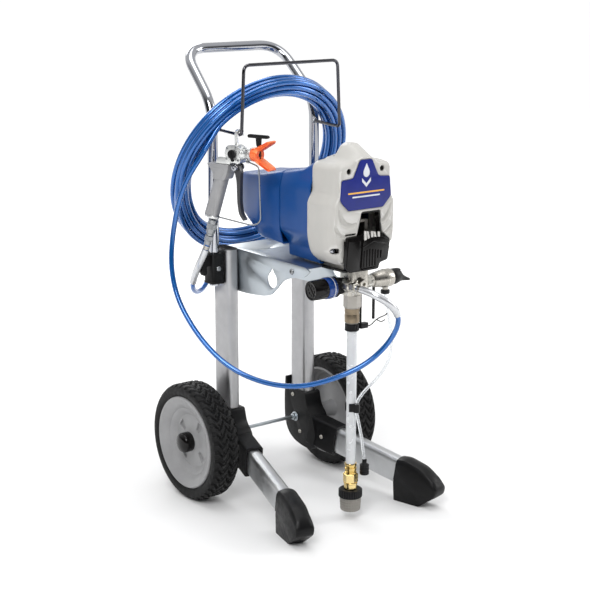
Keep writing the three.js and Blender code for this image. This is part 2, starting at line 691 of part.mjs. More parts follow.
// ---------------------------------------------------------------- hose
function hoseCoil() {
  const c = 6;
  const profile = [
    [COIL_IN_R + c, -COIL_HALF], [COIL_OUT_R - c, -COIL_HALF], [COIL_OUT_R, -COIL_HALF + c],
    [COIL_OUT_R, COIL_HALF - c], [COIL_OUT_R - c, COIL_HALF], [COIL_IN_R + c, COIL_HALF],
    [COIL_IN_R, COIL_HALF - c], [COIL_IN_R, -COIL_HALF + c], [COIL_IN_R + c, -COIL_HALF],
  ];
  // The coil's axis lies along Y, then its top is tipped forward.
  const ring = turned(profile, 40).rotateX(Math.PI / 2).rotateX(radians(COIL_TILT));
  return ring.translate(...COIL_CENTRE);
}
add('hose_coil', hoseCoil(), HOSE_BLUE);

const LEAD_ROUTE = [
  [-27, -351, 506], [-27.4, -366, 506], [-25.8, -380.5, 504.6], [-20.8, -394, 500.8],
  [-12.2, -405, 494], [0, -412, 484.5], [14, -414, 472], [26, -411, 457], [33.5, -405, 439],
  [34.5, -396, 420], [28, -386, 398], [14, -375, 376], [-8, -362, 354], [-35, -347, 337],
  [-67, -322, 320], [-100, -285, 302], [-134, -232, 294], [-172, -170, 306],
  [-203, -119, 336], [-226, -76, 382], [-239, -38, 432], [-242, -14, 472], [-240, 2, 520],
  [-232, 8, 570], [-225, 4, 620], [-217, -6, 668], [-203, -20, 712], [-184, -36, 747],
];
add('hose_lead', sweep(flowing(LEAD_ROUTE), HOSE_R, 8, 60), HOSE_BLUE);

const TAIL_ROUTE = [
  [-165.2, -20.3, 552.2], [-170, -14, 532], [-175.5, 1, 505], [-173, 21, 476], [-163, 41, 453],
  [-144, 59, 437], [-121, 74, 433], [-100, 86, 441], [-83, 95, 457], [-69, 102, 475],
  [-54, 108, 490], [-36, 112, 500], [-16, 114, 504.5],
];
add('hose_tail', sweep(flowing(TAIL_ROUTE), HOSE_R, 8, 28), HOSE_BLUE);

// ---------------------------------------------------------------- spray gun
// In the gun's own frame +X is forward, along the spray, and +Z is up.
const gun = new THREE.Group();
gun.position.set(...GUN_PLACE);
gun.rotation.z = radians(GUN_YAW);
machine.add(gun);

// An outline in the gun's (x, z), pushed across from y = -half to y = +half.
function gunPlate(points, half, middle = 0) {
  return frontPrism(points, middle + half, middle - half);
}

function gunBody() {
  const hook = sidePrism([
    [4, 14], [4, 41], [10, 46], [23, 46], [28, 41], [28, 32], [23.5, 32], [23.5, 38.5],
    [21.5, 40.5], [11, 40.5], [9, 38.5], [9, 14]], -18, -11);
  return joined(
    gunPlate([[-30, -20], [6, -20], [8, 10], [-4, 17], [-26, 15], [-32, 4]], 11),
    bar('x', 5, 32, 14, [0, 0], 20),
    gunPlate([[-56, -23.5], [-20, -23.5], [-20, -8], [-50, -10]], 12),
    hook);
}
add('gun_body', gunBody(), ZINC, gun);

function gunGrip() {
  const profile = [
    [-77, -24], [-20, -24], [-23, -40], [-33, -62], [-54, -150], [-92, -144], [-62, -62],
    [-62, -44],
  ];
  return gunPlate(profile, 14);
}
add('gun_grip', gunGrip(), CASTING, gun);

const TRIGGER_PIVOT = [-7, -29];
function gunTrigger() {
  return joined(
    gunPlate([[-12, -24], [-2, -24], [2, -60], [1, -110], [5, -134], [14, -147], [9, -150],
      [-2, -136], [-6, -110], [-7, -60]], 8),
    bar('y', -11, 11, 6, TRIGGER_PIVOT, 16));
}
add('gun_trigger', gunTrigger(), BLACK, gun);

function triggerLock() {
  return joined(bar('y', -17, -11 - GAP, 9, [-12, -2], 16),
    gunPlate([[-22, 2], [-16, 9], [-4, -8], [-4, -17], [-10, -17]], 2.5, -16));
}
add('trigger_lock', triggerLock(), BLACK, gun);

function triggerGuard() {
  const path = bent([
    [20, 0, -16.6], [47, 0, -24], [52, 0, -150], [30, 0, -163], [-52, 0, -153],
  ], [8, 14, 8]);
  return sweep(path, 2, 6, 30);
}
add('trigger_guard', triggerGuard(), CHROME, gun);

// The tip guard: a ring in front of the barrel with a wing above and a wing below the spray.
const TIP_X = 46;
function tipGuard() {
  const wing = [[42, 9], [50, 7], [84, 25], [86, 31], [80, 31], [46, 15]];
  const wings = [wing, wing.map(([x, z]) => [x, -z])].map((points) => gunPlate(points, 11));
  const ring = bar('x', 32 + GAP, 50, 14.5, [0, 0], 20);
  return cut(joined(ring, ...wings), bar('z', -8, 40, 4 + GAP, [TIP_X, 0], 16));
}
add('tip_guard', tipGuard(), ORANGE, gun);

function sprayTip() {
  return joined(bar('z', -7, 36, 4, [TIP_X, 0], 16),
    gunPlate([[20, 35], [74, 35], [74, 40], [20, 40]], 3));
}
add('spray_tip', sprayTip(), BLACK, gun);

// The swivel turns on the hose end, below the grip and in line with it.
function gunSwivel() {
  const pieces = joined(bar('z', -24, -1, 11, [0, 0], 16), bar('z', -52, -23, 7.5, [0, 0], 16),
    bar('z', -42, -30, 10, [0, 0], 6));
  return pieces.rotateY(radians(18)).translate(-73, 0, -149);
}
add('gun_swivel', gunSwivel(), STEEL, gun);

export default machine;
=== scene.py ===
import json
import math

import bmesh
import bpy
from mathutils import Matrix, Vector


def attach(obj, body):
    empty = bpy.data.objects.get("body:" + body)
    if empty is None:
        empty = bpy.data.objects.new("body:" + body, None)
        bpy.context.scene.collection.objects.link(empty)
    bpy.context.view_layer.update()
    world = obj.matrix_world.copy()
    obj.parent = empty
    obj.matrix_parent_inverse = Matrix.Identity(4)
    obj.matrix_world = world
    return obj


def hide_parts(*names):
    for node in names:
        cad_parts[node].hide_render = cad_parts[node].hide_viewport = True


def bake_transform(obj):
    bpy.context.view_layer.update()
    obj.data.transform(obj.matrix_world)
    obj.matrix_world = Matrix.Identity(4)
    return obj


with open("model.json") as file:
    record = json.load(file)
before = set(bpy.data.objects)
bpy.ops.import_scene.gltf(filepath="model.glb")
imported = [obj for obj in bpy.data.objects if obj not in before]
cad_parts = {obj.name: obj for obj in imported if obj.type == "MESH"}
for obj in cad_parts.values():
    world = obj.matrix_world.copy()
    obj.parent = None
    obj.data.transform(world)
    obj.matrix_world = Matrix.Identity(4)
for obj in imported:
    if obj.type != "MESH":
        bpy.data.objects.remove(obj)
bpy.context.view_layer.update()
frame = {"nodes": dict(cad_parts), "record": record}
BEHAVIOUR = frame["record"]["behaviour"]
BODY = {node: body for body, nodes in BEHAVIOUR["bodies"].items() for node in nodes}
CENTRE_Y = 128.6              # from the axle to the middle of the machine's depth
SIDES = (("left", -1), ("right", 1))


def at(point):
    """A point of the drawing, in millimetres, as a place in the frame, in metres."""
    return Vector((point[0], point[1] + CENTRE_Y, point[2])) / 1000


# ---------------------------------------------------------------- camera, light and floor
def aim(obj, target):
    obj.rotation_mode = "QUATERNION"
    obj.rotation_quaternion = (Vector(target) - obj.location).to_track_quat("-Z", "Y")


def link(name, data):
    obj = bpy.data.objects.new(name, data)
    bpy.context.scene.collection.objects.link(obj)
    return obj


camera = link("camera", bpy.data.cameras.new("camera"))
camera.location = (-1.7767, -2.3394, 1.1566)
camera.data.lens = 87.2
camera.data.sensor_width = 36
camera.data.clip_end = 60
aim(camera, (0.0813, 0.1286, 0.4097))
bpy.context.scene.camera = camera


def area_light(name, place, target, size, watts, colour=(1, 1, 1)):
    data = bpy.data.lights.new(name, "AREA")
    data.shape = "RECTANGLE"
    data.size, data.size_y = size
    data.energy = watts
    data.color = colour
    lamp = link(name, data)
    lamp.location = place
    aim(lamp, target)
    return lamp


area_light("key_light", (-2.6, -2.2, 3.0), (0, 0, 0.45), (1.6, 1.6), 95)
area_light("fill_light", (3.0, -1.6, 1.7), (0, 0, 0.5), (1.2, 2.0), 38)
area_light("rim_light", (0.6, 3.0, 2.4), (0, 0, 0.6), (2.2, 1.2), 40)
area_light("top_light", (0.0, -0.2, 3.6), (0, 0, 0.3), (2.4, 2.4), 45)

world = bpy.data.worlds.new("studio")
bpy.context.scene.world = world
world.use_nodes = True
sky = world.node_tree
sky.nodes.clear()
direction = sky.nodes.new("ShaderNodeTexCoord")
toward = sky.nodes.new("ShaderNodeVectorMath")
toward.operation = "DOT_PRODUCT"
toward.inputs[1].default_value = (0.36, 0.48, 0.8)     # bright above and behind, dim in front
ramp = sky.nodes.new("ShaderNodeValToRGB")
for stop, position, colour in zip(ramp.color_ramp.elements, (0.0, 0.5),
                                  ((0.06, 0.062, 0.066, 1), (1, 1, 1, 1))):
    stop.position, stop.color = position, colour
glow = sky.nodes.new("ShaderNodeBackground")
glow.inputs["Strength"].default_value = 0.8
sky_out = sky.nodes.new("ShaderNodeOutputWorld")
for output, socket in ((direction.outputs["Generated"], toward.inputs[0]),
                       (toward.outputs["Value"], ramp.inputs["Fac"]),
                       (ramp.outputs["Color"], glow.inputs["Color"]), (glow.outputs[0], sky_out.inputs[0])):
    sky.links.new(output, socket)
bpy.context.scene.view_settings.view_transform = "Standard"


# ---------------------------------------------------------------- materials
class Shader:
    """A Principled material whose colour, roughness and relief come from noise in object space."""

    def __init__(self, name, **constant):
        self.material = bpy.data.materials.new(name)
        self.material.use_nodes = True
        self.tree = self.material.node_tree
        self.tree.nodes.clear()
        self.out = self.tree.nodes.new("ShaderNodeOutputMaterial")
        self.shader = self.tree.nodes.new("ShaderNodeBsdfPrincipled")
        self.tree.links.new(self.shader.outputs[0], self.out.inputs["Surface"])
        self.place = self.tree.nodes.new("ShaderNodeTexCoord").outputs["Object"]
        for socket, value in constant.items():
            self.shader.inputs[socket.replace("_", " ")].default_value = value

    def node(self, kind, setting=None, **inputs):
        """A new node, its inputs set to values or joined to the outputs of others."""
        made = self.tree.nodes.new("ShaderNode" + kind)
        if setting:
            setattr(made, *setting)
        for socket, value in inputs.items():
            socket = made.inputs[socket.replace("_", " ")]
            if isinstance(value, bpy.types.NodeSocket):
                self.tree.links.new(value, socket)
            else:
                socket.default_value = value
        return made

    def stretched(self, scale):
        """Object coordinates multiplied by scale along each axis."""
        return self.node("Mapping", Scale=scale, Vector=self.place).outputs[0]

    def noise(self, scale, detail=3, where=None):
        return self.node("TexNoise", Scale=scale, Detail=detail, Vector=where or self.place).outputs["Fac"]

    def spread(self, value, low, high, start=0.3, end=0.7):
        """value from start..end moved to low..high."""
        return self.node("MapRange", Value=value, From_Min=start, From_Max=end, To_Min=low,
                         To_Max=high).outputs[0]

    def colours(self, value, first, second):
        """Mixes two colours by value. Either may be another node's output."""
        first, second = [(*c, 1) if isinstance(c, tuple) else c for c in (first, second)]
        return self.node("Mix", ("data_type", "RGBA"), Factor=value, A=first, B=second).outputs["Result"]

    def relief(self, value, strength, distance):
        bump = self.node("Bump", Strength=strength, Distance=distance, Height=value)
        self.to("Normal", bump.outputs[0])

    def to(self, socket, output):
        self.tree.links.new(output, self.shader.inputs[socket])


def shade(colour, factor):
    return tuple(min(1, c * factor) for c in colour)


def surface(name, colour, rough, vary=0.12, rough_vary=0.06, patch=35, grain=900, relief=0.15,
            depth=0.0004, stretch=None, edge_wear_and_highlight=None, **constant):
    """The usual finish: patches of slightly different colour and gloss over a fine relief.
    The edge colour shows along the edges: it is wear, and on the tyre it is partly a painted highlight
    along the tread blocks' edges."""
    s = Shader(name, **constant)
    where = s.stretched(stretch) if stretch else None
    patches = s.noise(patch, 4)
    fine = s.noise(grain, 2, where)
    base = s.colours(s.spread(patches, 0, 1), shade(colour, 1 - vary), shade(colour, 1 + vary))
    if edge_wear_and_highlight:
        # Convex edges take the edge colour: wear, and on the tyre partly a painted highlight.
        edge = s.tree.nodes.new("ShaderNodeNewGeometry").outputs["Pointiness"]
        base = s.colours(s.spread(edge, 0, 0.8, 0.53, 0.62), base, edge_wear_and_highlight)
    s.to("Base Color", base)
    s.to("Roughness", s.spread(s.noise(patch * 2.3, 3), max(0.02, rough - rough_vary), rough + rough_vary))
    if relief:
        s.relief(fine, relief, depth)
    return s.material


METAL = {"Metallic": 1.0}
M = {
    "aluminium": surface("satin_aluminium", (0.4, 0.4, 0.41), 0.38, 0.05, grain=500, relief=0.06,
                         stretch=(1, 1, 0.02), edge_wear_and_highlight=(0.6, 0.6, 0.6), **METAL),
    "leg": surface("satin_leg", (0.56, 0.57, 0.58), 0.36, 0.05, grain=500, relief=0.06,
                   stretch=(1, 0.05, 1), edge_wear_and_highlight=(0.8, 0.8, 0.8), **METAL),
    "zinc": surface("bright_zinc", (0.47, 0.51, 0.54), 0.34, 0.04, patch=14, grain=260, relief=0.04,
                    **METAL),
    "chrome": surface("chrome", (0.42, 0.43, 0.46), 0.08, 0.04, 0.03, patch=20, grain=90,
                      relief=0.02, **METAL),
    # Chrome wire: its base colour is darkened to paint in the dark reflections that chrome shows.
    "chrome_painted_dark": surface("chrome_wire_painted_dark_reflection", (0.09, 0.09, 0.1), 0.14, 0.1, 0.04, patch=20, grain=90,
                         relief=0.02, **METAL),
    "steel": surface("machined_steel", (0.32, 0.33, 0.34), 0.3, 0.1, grain=1400, relief=0.1, **METAL),
    "nickel": surface("nickel_plate", (0.44, 0.42, 0.38), 0.3, 0.12, patch=70, grain=700, relief=0.12,
                      edge_wear_and_highlight=(0.7, 0.68, 0.62), **METAL),
    "cast": surface("cast_metal", (0.2, 0.19, 0.17), 0.4, 0.14, patch=90, grain=1100, relief=0.35,
                    edge_wear_and_highlight=(0.42, 0.4, 0.37), **METAL),
    "bronze": surface("bronze_sleeve", (0.25, 0.2, 0.14), 0.34, 0.18, patch=80, grain=700, relief=0.2,
                      **METAL),
    "brass": surface("machined_brass", (0.72, 0.5, 0.16), 0.22, 0.1, patch=60, grain=1600, relief=0.1,
                     edge_wear_and_highlight=(0.9, 0.72, 0.35), **METAL),
    "copper": surface("varnished_windings", (0.45, 0.16, 0.06), 0.35, 0.2, grain=900, relief=0.6,
                      depth=0.001, stretch=(1, 0.05, 1), Metallic=0.6),
    "black": surface("textured_black_plastic", (0.0045, 0.0045, 0.005), 0.4, 0.25, 0.08, patch=45,
                     grain=1500, relief=0.22, edge_wear_and_highlight=(0.02, 0.02, 0.022), Specular_IOR_Level=0.2),
    "black_gloss": surface("gloss_black_plastic", (0.004, 0.0035, 0.0035), 0.16, 0.2, 0.04, grain=300,
                           relief=0.03, Specular_IOR_Level=0.25),
    # The tyre's edge colour is partly wear and partly a painted highlight along the tread blocks' edges.
    "rubber": surface("tyre_rubber", (0.006, 0.006, 0.0063), 0.55, 0.3, 0.1, patch=60, grain=1300,
                      relief=0.3, edge_wear_and_highlight=(0.05, 0.05, 0.052), Specular_IOR_Level=0.22),
    "rim": surface("grey_rim_plastic", (0.3, 0.3, 0.305), 0.4, 0.06, 0.07, grain=1200, relief=0.12,
                   edge_wear_and_highlight=(0.42, 0.42, 0.42)),
    "shroud": surface("blue_shroud_plastic", (0.002, 0.055, 0.23), 0.3, 0.04, 0.015, patch=18, grain=1600,
                      relief=0.06, Specular_IOR_Level=0.3),
    "cover": surface("light_cover_plastic", (0.47, 0.46, 0.435), 0.42, 0.035, 0.06, patch=22, grain=1600,
                     relief=0.14, edge_wear_and_highlight=(0.6, 0.59, 0.57)),
    "badge": surface("dark_blue_label", (0.01, 0.018, 0.17), 0.24, 0.12, 0.02, grain=500, relief=0.02,
                     Specular_IOR_Level=0.3),
    "pale_print": surface("pale_emblem", (0.62, 0.64, 0.68), 0.3, 0.05, grain=500, relief=0.04),
    "gold_print": surface("gold_emblem", (0.8, 0.42, 0.06), 0.3, 0.08, grain=500, relief=0.04),
    "orange": surface("orange_plastic", (0.8, 0.1, 0.012), 0.36, 0.1, 0.06, grain=1300, relief=0.15,
                      edge_wear_and_highlight=(0.9, 0.3, 0.1)),
    "grip": surface("grey_grip_plastic", (0.3, 0.3, 0.305), 0.45, 0.06, 0.05, grain=1300, relief=0.25,
                    edge_wear_and_highlight=(0.5, 0.5, 0.5)),
    "gun": surface("silver_gun_coat", (0.66, 0.67, 0.66), 0.3, 0.06, 0.06, grain=1200, relief=0.2,
                   edge_wear_and_highlight=(0.85, 0.85, 0.85), Metallic=0.75),
    "trigger": surface("dark_grey_trigger", (0.032, 0.032, 0.036), 0.34, 0.15, 0.05, grain=1100,
                       relief=0.15, edge_wear_and_highlight=(0.12, 0.12, 0.13)),
    "teal": surface("blue_ring", (0.006, 0.04, 0.2), 0.12, 0.12, 0.04, grain=600, relief=0.04,
                    Coat_Weight=0.6, Coat_Roughness=0.05),
    "hose": surface("blue_hose_cover", (0.003, 0.11, 0.4), 0.18, 0.14, 0.05, patch=14, grain=420,
                    relief=0.05, depth=0.0003, Metallic=0.5, Coat_Weight=1.0, Coat_Roughness=0.06),
    "milky": surface("milky_sleeve", (0.6, 0.61, 0.63), 0.2, 0.06, 0.05, patch=40, grain=400, relief=0.06,
                     Metallic=0.6, Coat_Weight=0.8, Coat_Roughness=0.08),
    "tube": surface("natural_suction_tube", (0.84, 0.86, 0.88), 0.24, 0.03, 0.05, patch=30, grain=400,
                    relief=0.05, Transmission_Weight=0.25, IOR=1.45, Subsurface_Weight=0.4,
                    Subsurface_Scale=0.004, Subsurface_Radius=(1.0, 1.0, 1.0)),
    "clear": surface("clear_drain_tube", (0.86, 0.88, 0.9), 0.12, 0.03, 0.04, patch=30, grain=400,
                     relief=0.04, Transmission_Weight=0.75, IOR=1.4),
    "strainer": surface("smoked_strainer_mesh", (0.33, 0.31, 0.28), 0.35, 0.12, 0.06, grain=900,
                        relief=0.3, Transmission_Weight=0.25, IOR=1.45),
}


# ---------------------------------------------------------------- shapes (points in millimetres)
def loft(rings, caps=True, loop=False):
    """Skins a list of rings with the same number of points. loop joins the last ring to the first."""
    count = len(rings[0])
    points = [p for ring in rings for p in ring]
    faces = []
    for row in range(len(rings) - (0 if loop else 1)):
        a, b = row * count, (row + 1) % len(rings) * count
        faces += [(a + i, a + (i + 1) % count, b + (i + 1) % count, b + i) for i in range(count)]
    if caps and not loop:
        faces += [tuple(range(count)), tuple(range(len(points) - count, len(points)))]
    return points, faces


AXES = {"x": (0, 1, 2), "y": (1, 0, 2), "z": (2, 0, 1)}


def along(axis, height, a, b):
    """The point at height along axis, with a and b along the other two in x, y, z order."""
    point = [0, 0, 0]
    for slot, value in zip(AXES[axis], (height, a, b)):
        point[slot] = value
    return tuple(point)


def around(sides):
    """The angles of so many even steps round a circle."""
    return [2 * math.pi * i / sides for i in range(sides)]


def lathe(profile, axis="z", centre=(0, 0), sides=48, loop=False):
    """Turns (radius, height) points about an axis through centre."""
    rings = [[along(axis, height, centre[0] + radius * math.cos(t), centre[1] + radius * math.sin(t))
              for t in around(sides)] for radius, height in profile]
    return loft(rings, caps=not loop, loop=loop)


def bore(radius, low, high, axis="z", centre=(0, 0), sides=32):
    """A plain cylinder, mostly for cutting a hole."""
    return lathe([(radius, low), (radius, high)], axis, centre, sides)


def prism(outline, low, high, axis="y"):
    """An outline in the two other coordinates, pushed from low to high."""
    return loft([[along(axis, h, a, b) for a, b in outline] for h in (low, high)])


def slab(outline, radii, low, high, axis="y", steps=4):
    """A plate whose outline has rounded corners."""
    return prism(filleted(outline, radii, steps), low, high, axis)


def block(x0, x1, y0, y1, z0, z1):
    return prism([(x0, y0), (x1, y0), (x1, y1), (x0, y1)], z0, z1, "z")


def hexagon(radius, centre=(0, 0), turn=0.0, sides=6):
    return [(centre[0] + radius * math.cos(turn + 2 * math.pi * i / sides),
             centre[1] + radius * math.sin(turn + 2 * math.pi * i / sides)) for i in range(sides)]


def filleted(outline, radius, steps=4):
    """Rounds the corners of a closed outline. radius may be a list, one for each corner."""
    points, count = [], len(outline)
    for i in range(count):
        corner = Vector(outline[i])
        before, after = Vector(outline[i - 1]) - corner, Vector(outline[(i + 1) % count]) - corner
        r = radius[i] if isinstance(radius, (list, tuple)) else radius
        reach = min(r, before.length * 0.45, after.length * 0.45)
        start, end = corner + before.normalized() * reach, corner + after.normalized() * reach
        for k in range(steps + 1):
            t = k / steps
            points.append(tuple((1 - t) ** 2 * start + 2 * t * (1 - t) * corner + t * t * end))
    return points


def inset(outline, amount):
    """Moves a closed, anticlockwise or clockwise outline inward."""
    area = sum(a[0] * b[1] - b[0] * a[1] for a, b in zip(outline, outline[1:] + outline[:1]))
    side = 1 if area > 0 else -1
    moved = []
    for i, point in enumerate(outline):
        before = Vector(point) - Vector(outline[i - 1])
        after = Vector(outline[(i + 1) % len(outline)]) - Vector(point)
        normals = [Vector((-v.y, v.x)).normalized() for v in (before, after) if v.length > 1e-6]
        normal = sum(normals, Vector((0, 0))).normalized()
        moved.append(tuple(Vector(point) + normal * amount * side))
    return moved


def rounded_box(width, depth, radius, centre=(0, 0), steps=6):
    w, d = width / 2, depth / 2
    corners = [(w, d), (-w, d), (-w, -d), (w, -d)]
    return [(x + centre[0], y + centre[1]) for x, y in filleted(corners, radius, steps)]


def both_sides(half):
    return list(half) + [(-x, z) for x, z in reversed(half)]


def placed(shell, place):
    """A shell with every point moved by place."""
    return [place(p) for p in shell[0]], shell[1]


def spline(points, step):
    """Points every step millimetres along a uniform cubic B-spline, so the bend changes evenly."""
    p = [Vector(q) for q in points]
    p = [2 * p[0] - p[1]] + p + [2 * p[-1] - p[-2]]
    fine = []
    for before, a, b, after in zip(p, p[1:], p[2:], p[3:]):
        for k in range(12):
            t = k / 12
            fine.append(((1 - t) ** 3 * before + (3 * t ** 3 - 6 * t * t + 4) * a
                         + (-3 * t ** 3 + 3 * t * t + 3 * t + 1) * b + t ** 3 * after) / 6)
    return resample(fine + [p[-2]], step)


def resample(points, step):
    total = sum((b - a).length for a, b in zip(points, points[1:]))
    count = max(2, round(total / step))
    made, travelled, i = [points[0]], 0.0, 0
    for k in range(1, count):
        goal = total * k / count
        while i + 2 < len(points) and travelled + (points[i + 1] - points[i]).length < goal:
            travelled += (points[i + 1] - points[i]).length
            i += 1
        part = (goal - travelled) / (points[i + 1] - points[i]).length
        made.append(points[i].lerp(points[i + 1], part))
    return made + [points[-1]]


def bent(points, bends, steps=8):
    """Straight stretches with each inner corner rounded by a quadratic curve."""
    p = [Vector(q) for q in points]
    made = [p[0]]
    for i in range(1, len(p) - 1):
        before = p[i] + (p[i - 1] - p[i]).normalized() * bends[i - 1]
        after = p[i] + (p[i + 1] - p[i]).normalized() * bends[i - 1]
        for k in range(steps + 1):
            t = k / steps
            made.append((1 - t) ** 2 * before + 2 * t * (1 - t) * p[i] + t * t * after)
    return made + [p[-1]]


def sweep(path, section, caps=True, scale=None):
    """Carries a section (points across the path) along it without twisting."""
    path = [Vector(p) for p in path]
    ways = [(path[min(i + 1, len(path) - 1)] - path[max(i - 1, 0)]).normalized() for i in range(len(path))]
    side = ways[0].orthogonal().normalized()
    rings = []
    for i, (point, way) in enumerate(zip(path, ways)):
        side = (side - way * side.dot(way)).normalized()
        up = way.cross(side)
        grow = scale(i / (len(path) - 1)) if scale else 1
        rings.append([tuple(point + (side * a + up * b) * grow) for a, b in section])
    return loft(rings, caps)


def tube(path, radius, sides=16, caps=True, scale=None):
    return sweep(path, hexagon(radius, sides=sides), caps, scale)


def merged(shells):
    points, faces = [], []
    for shell_points, shell_faces in shells:
        faces += [tuple(i + len(points) for i in face) for face in shell_faces]
        points += shell_points
    return points, faces


def mesh_object(name, shells, place=None):
    points, faces = merged(shells)
    if place:
        points = [place(p) for p in points]
    mesh = bpy.data.meshes.new(name)
    mesh.from_pydata([at(p) for p in points], [], faces)
    work = bmesh.new()
    work.from_mesh(mesh)
    bmesh.ops.remove_doubles(work, verts=work.verts, dist=2e-6)
    bmesh.ops.dissolve_degenerate(work, edges=work.edges, dist=2e-6)
    bmesh.ops.recalc_face_normals(work, faces=work.faces)
    work.to_mesh(mesh)
    work.free()
    return link(name, mesh)


def settled(obj):
    """Replaces the object's mesh by what its modifiers make of it."""
    graph = bpy.context.evaluated_depsgraph_get()
    mesh = bpy.data.meshes.new_from_object(obj.evaluated_get(graph))
    obj.modifiers.clear()
    obj.data = mesh
    return obj


def build(name, shells, material, of=None, replaces=(), cuts=(), bevel=0, segments=3, smooth=35,
          edge_angle=32, place=None, slot=None, body=None):
    """One finished piece. of is the CAD node it stands for, or whose body it shares."""
    obj = mesh_object(name, shells, place)
    tools = []
    for tool in cuts:
        cutter = mesh_object(name + "_cutter", [tool], place)
        modifier = obj.modifiers.new("cut", "BOOLEAN")
        modifier.operation, modifier.solver, modifier.object = "DIFFERENCE", "EXACT", cutter
        modifier.use_self = len(shells) > 1
        tools.append(cutter)
    if bevel:
        edge = obj.modifiers.new("edges", "BEVEL")
        edge.width, edge.segments = bevel / 1000, segments
        edge.limit_method, edge.angle_limit = "ANGLE", math.radians(edge_angle)
        edge.use_clamp_overlap = True
    settled(obj)
    for cutter in tools:
        bpy.data.objects.remove(cutter)
    obj.data.shade_smooth()
    obj.data.set_sharp_from_angle(angle=math.radians(smooth))
    obj.data.materials.clear()
    obj.data.materials.append(M[material])
    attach(obj, body or BODY[of])
    if replaces:
        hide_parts(*replaces)
    return obj


def stand_in(node, shells, material, **more):
    """A piece that stands for the CAD node of nearly the same name."""
    return build(node + "_shape", shells, material, of=node, replaces=(node,), **more)


def keep(material, *nodes):
    """CAD nodes that stay as they are, with a finish of their own."""
    for node in nodes:
        obj = frame["nodes"][node]
        obj.data.materials.clear()
        obj.data.materials.append(M[material])


# ---------------------------------------------------------------- hose
HOSE_R = 5.5
COIL_CENTRE = Vector((0, 16, 705))
COIL_TILT = math.radians(25.3)
COIL_UP = Vector((0, -math.sin(COIL_TILT), math.cos(COIL_TILT)))
COIL_BACK = Vector((0, math.cos(COIL_TILT), math.sin(COIL_TILT)))
COIL_COLUMNS = (175.6, 186.8, 198.0, 209.2)
COIL_LAYERS = (-11.2, 0, 11.2)
COIL_START, COIL_END = 150, -90 - 360 * 11      # degrees; the hose winds clockwise seen from the front
COIL_STEP = 3.6
LEAD_LAYER, LEAD_OUT = -27.5, 6                 # how far in front and outside the lead comes in
LEAD_SETTLES = 55                               # degrees until it lies in the coil
TAIL_OUT, TAIL_FORWARD = 11.5, 5.0              # how far the tail has left at the coil's end
SHIFT_FROM, SHIFT_TO = 214, 160                 # where each turn moves over to the next place
LEAD_ROUTE = [
    (-27, -351, 506), (-27.4, -366, 506), (-25.8, -380.5, 504.6), (-20.8, -394, 500.8),
    (-12.2, -405, 494), (0, -412, 484.5), (14, -414, 472), (26, -411, 457), (33.5, -405, 439),
    (34.5, -396, 420), (28, -386, 398), (14, -375, 376), (-8, -362, 354), (-35, -347, 337),
    (-67, -322, 320), (-100, -285, 302), (-134, -232, 294), (-172, -170, 306),
    (-203, -119, 336), (-226, -76, 382), (-239, -38, 432), (-242, -14, 472), (-240, 2, 520),
    (-232, 8, 570), (-225, 4, 620), (-217, -6, 668), (-203, -20, 712), (-184, -36, 747),
]
TAIL_ROUTE = [
    (-165.2, -20.3, 552.2), (-170, -14, 532), (-175.5, 1, 505), (-173, 21, 476), (-163, 41, 453),
    (-144, 59, 437), (-121, 74, 433), (-100, 86, 441), (-83, 95, 457), (-69, 102, 475),
    (-54, 108, 490), (-36, 112, 500), (-16, 114, 504.5),
]


def coil_point(angle, radius, layer):
    a = math.radians(angle)
    return COIL_CENTRE + Vector((math.cos(a), 0, 0)) * radius + COIL_UP * math.sin(a) * radius \
        + COIL_BACK * layer


def ease(t):
    t = min(1, max(0, t))
    return t * t * (3 - 2 * t)


def coil_places():
    """(radius, layer) of each turn: out through the front layer, in through the middle, out again."""
    places = []
    for row, layer in enumerate(COIL_LAYERS):
        columns = COIL_COLUMNS if row % 2 == 0 else COIL_COLUMNS[::-1]
        places += [(radius, layer) for radius in columns]
    return places


def coil_path():
    places = coil_places()
    points, angle = [], COIL_START
    while angle >= COIL_END:
        turn = (SHIFT_TO - angle) / 360                 # whole turns since the first crossing
        index = max(0, math.ceil(turn - 1e-9))
        until = SHIFT_TO - 360 * index                  # this turn's shift ends here
        index = min(index, len(places) - 1)
        radius, layer = places[index]
        if index + 1 < len(places) and angle < until + (SHIFT_FROM - SHIFT_TO):
            part = ease((until + SHIFT_FROM - SHIFT_TO - angle) / (SHIFT_FROM - SHIFT_TO))
            radius += (places[index + 1][0] - radius) * part
            layer += (places[index + 1][1] - layer) * part
        if index == 0:
            above = 1 - ease((COIL_START - angle) / LEAD_SETTLES)
            layer += above * (LEAD_LAYER - layer)
            radius += above * LEAD_OUT
        leave = ease((COIL_END + 34 - angle) / 40)      # the tail leaves outward at the bottom
        radius += TAIL_OUT * leave
        layer -= TAIL_FORWARD * leave
        wobble = 0.5 * math.sin(math.radians(2 * angle) + index * 1.7)      # no turn lies quite true
        points.append(coil_point(angle, radius + wobble * 0.4, layer + wobble))
        angle -= COIL_STEP
    return points


def hose_path():
    lead = [Vector(p) for p in LEAD_ROUTE]
    tail = [Vector(p) for p in reversed(TAIL_ROUTE)]
    coil = coil_path()
    return spline([OUTLET_END] + lead[1:] + coil[2:-2] + tail[1:] + [GUN_END], 11.5)


GUN_PLACE = Vector((-137, -107, 757))
GUN_TURN = Matrix.Rotation(math.radians(-72), 3, "Z")


def gun_at(point):
    """A point of the gun's own frame (x forward, z up) in the drawing's frame."""
    return tuple(GUN_PLACE + GUN_TURN @ Vector(point))


SWIVEL_TURN = Matrix.Rotation(math.radians(18), 3, "Y")


def swivel_at(point):
    return gun_at(SWIVEL_TURN @ Vector(point) + Vector((-73, 0, -149)))


OUTLET_END = Vector((-27, -350.2, 506))
GUN_END = Vector(swivel_at((0, 0, -52.3)))

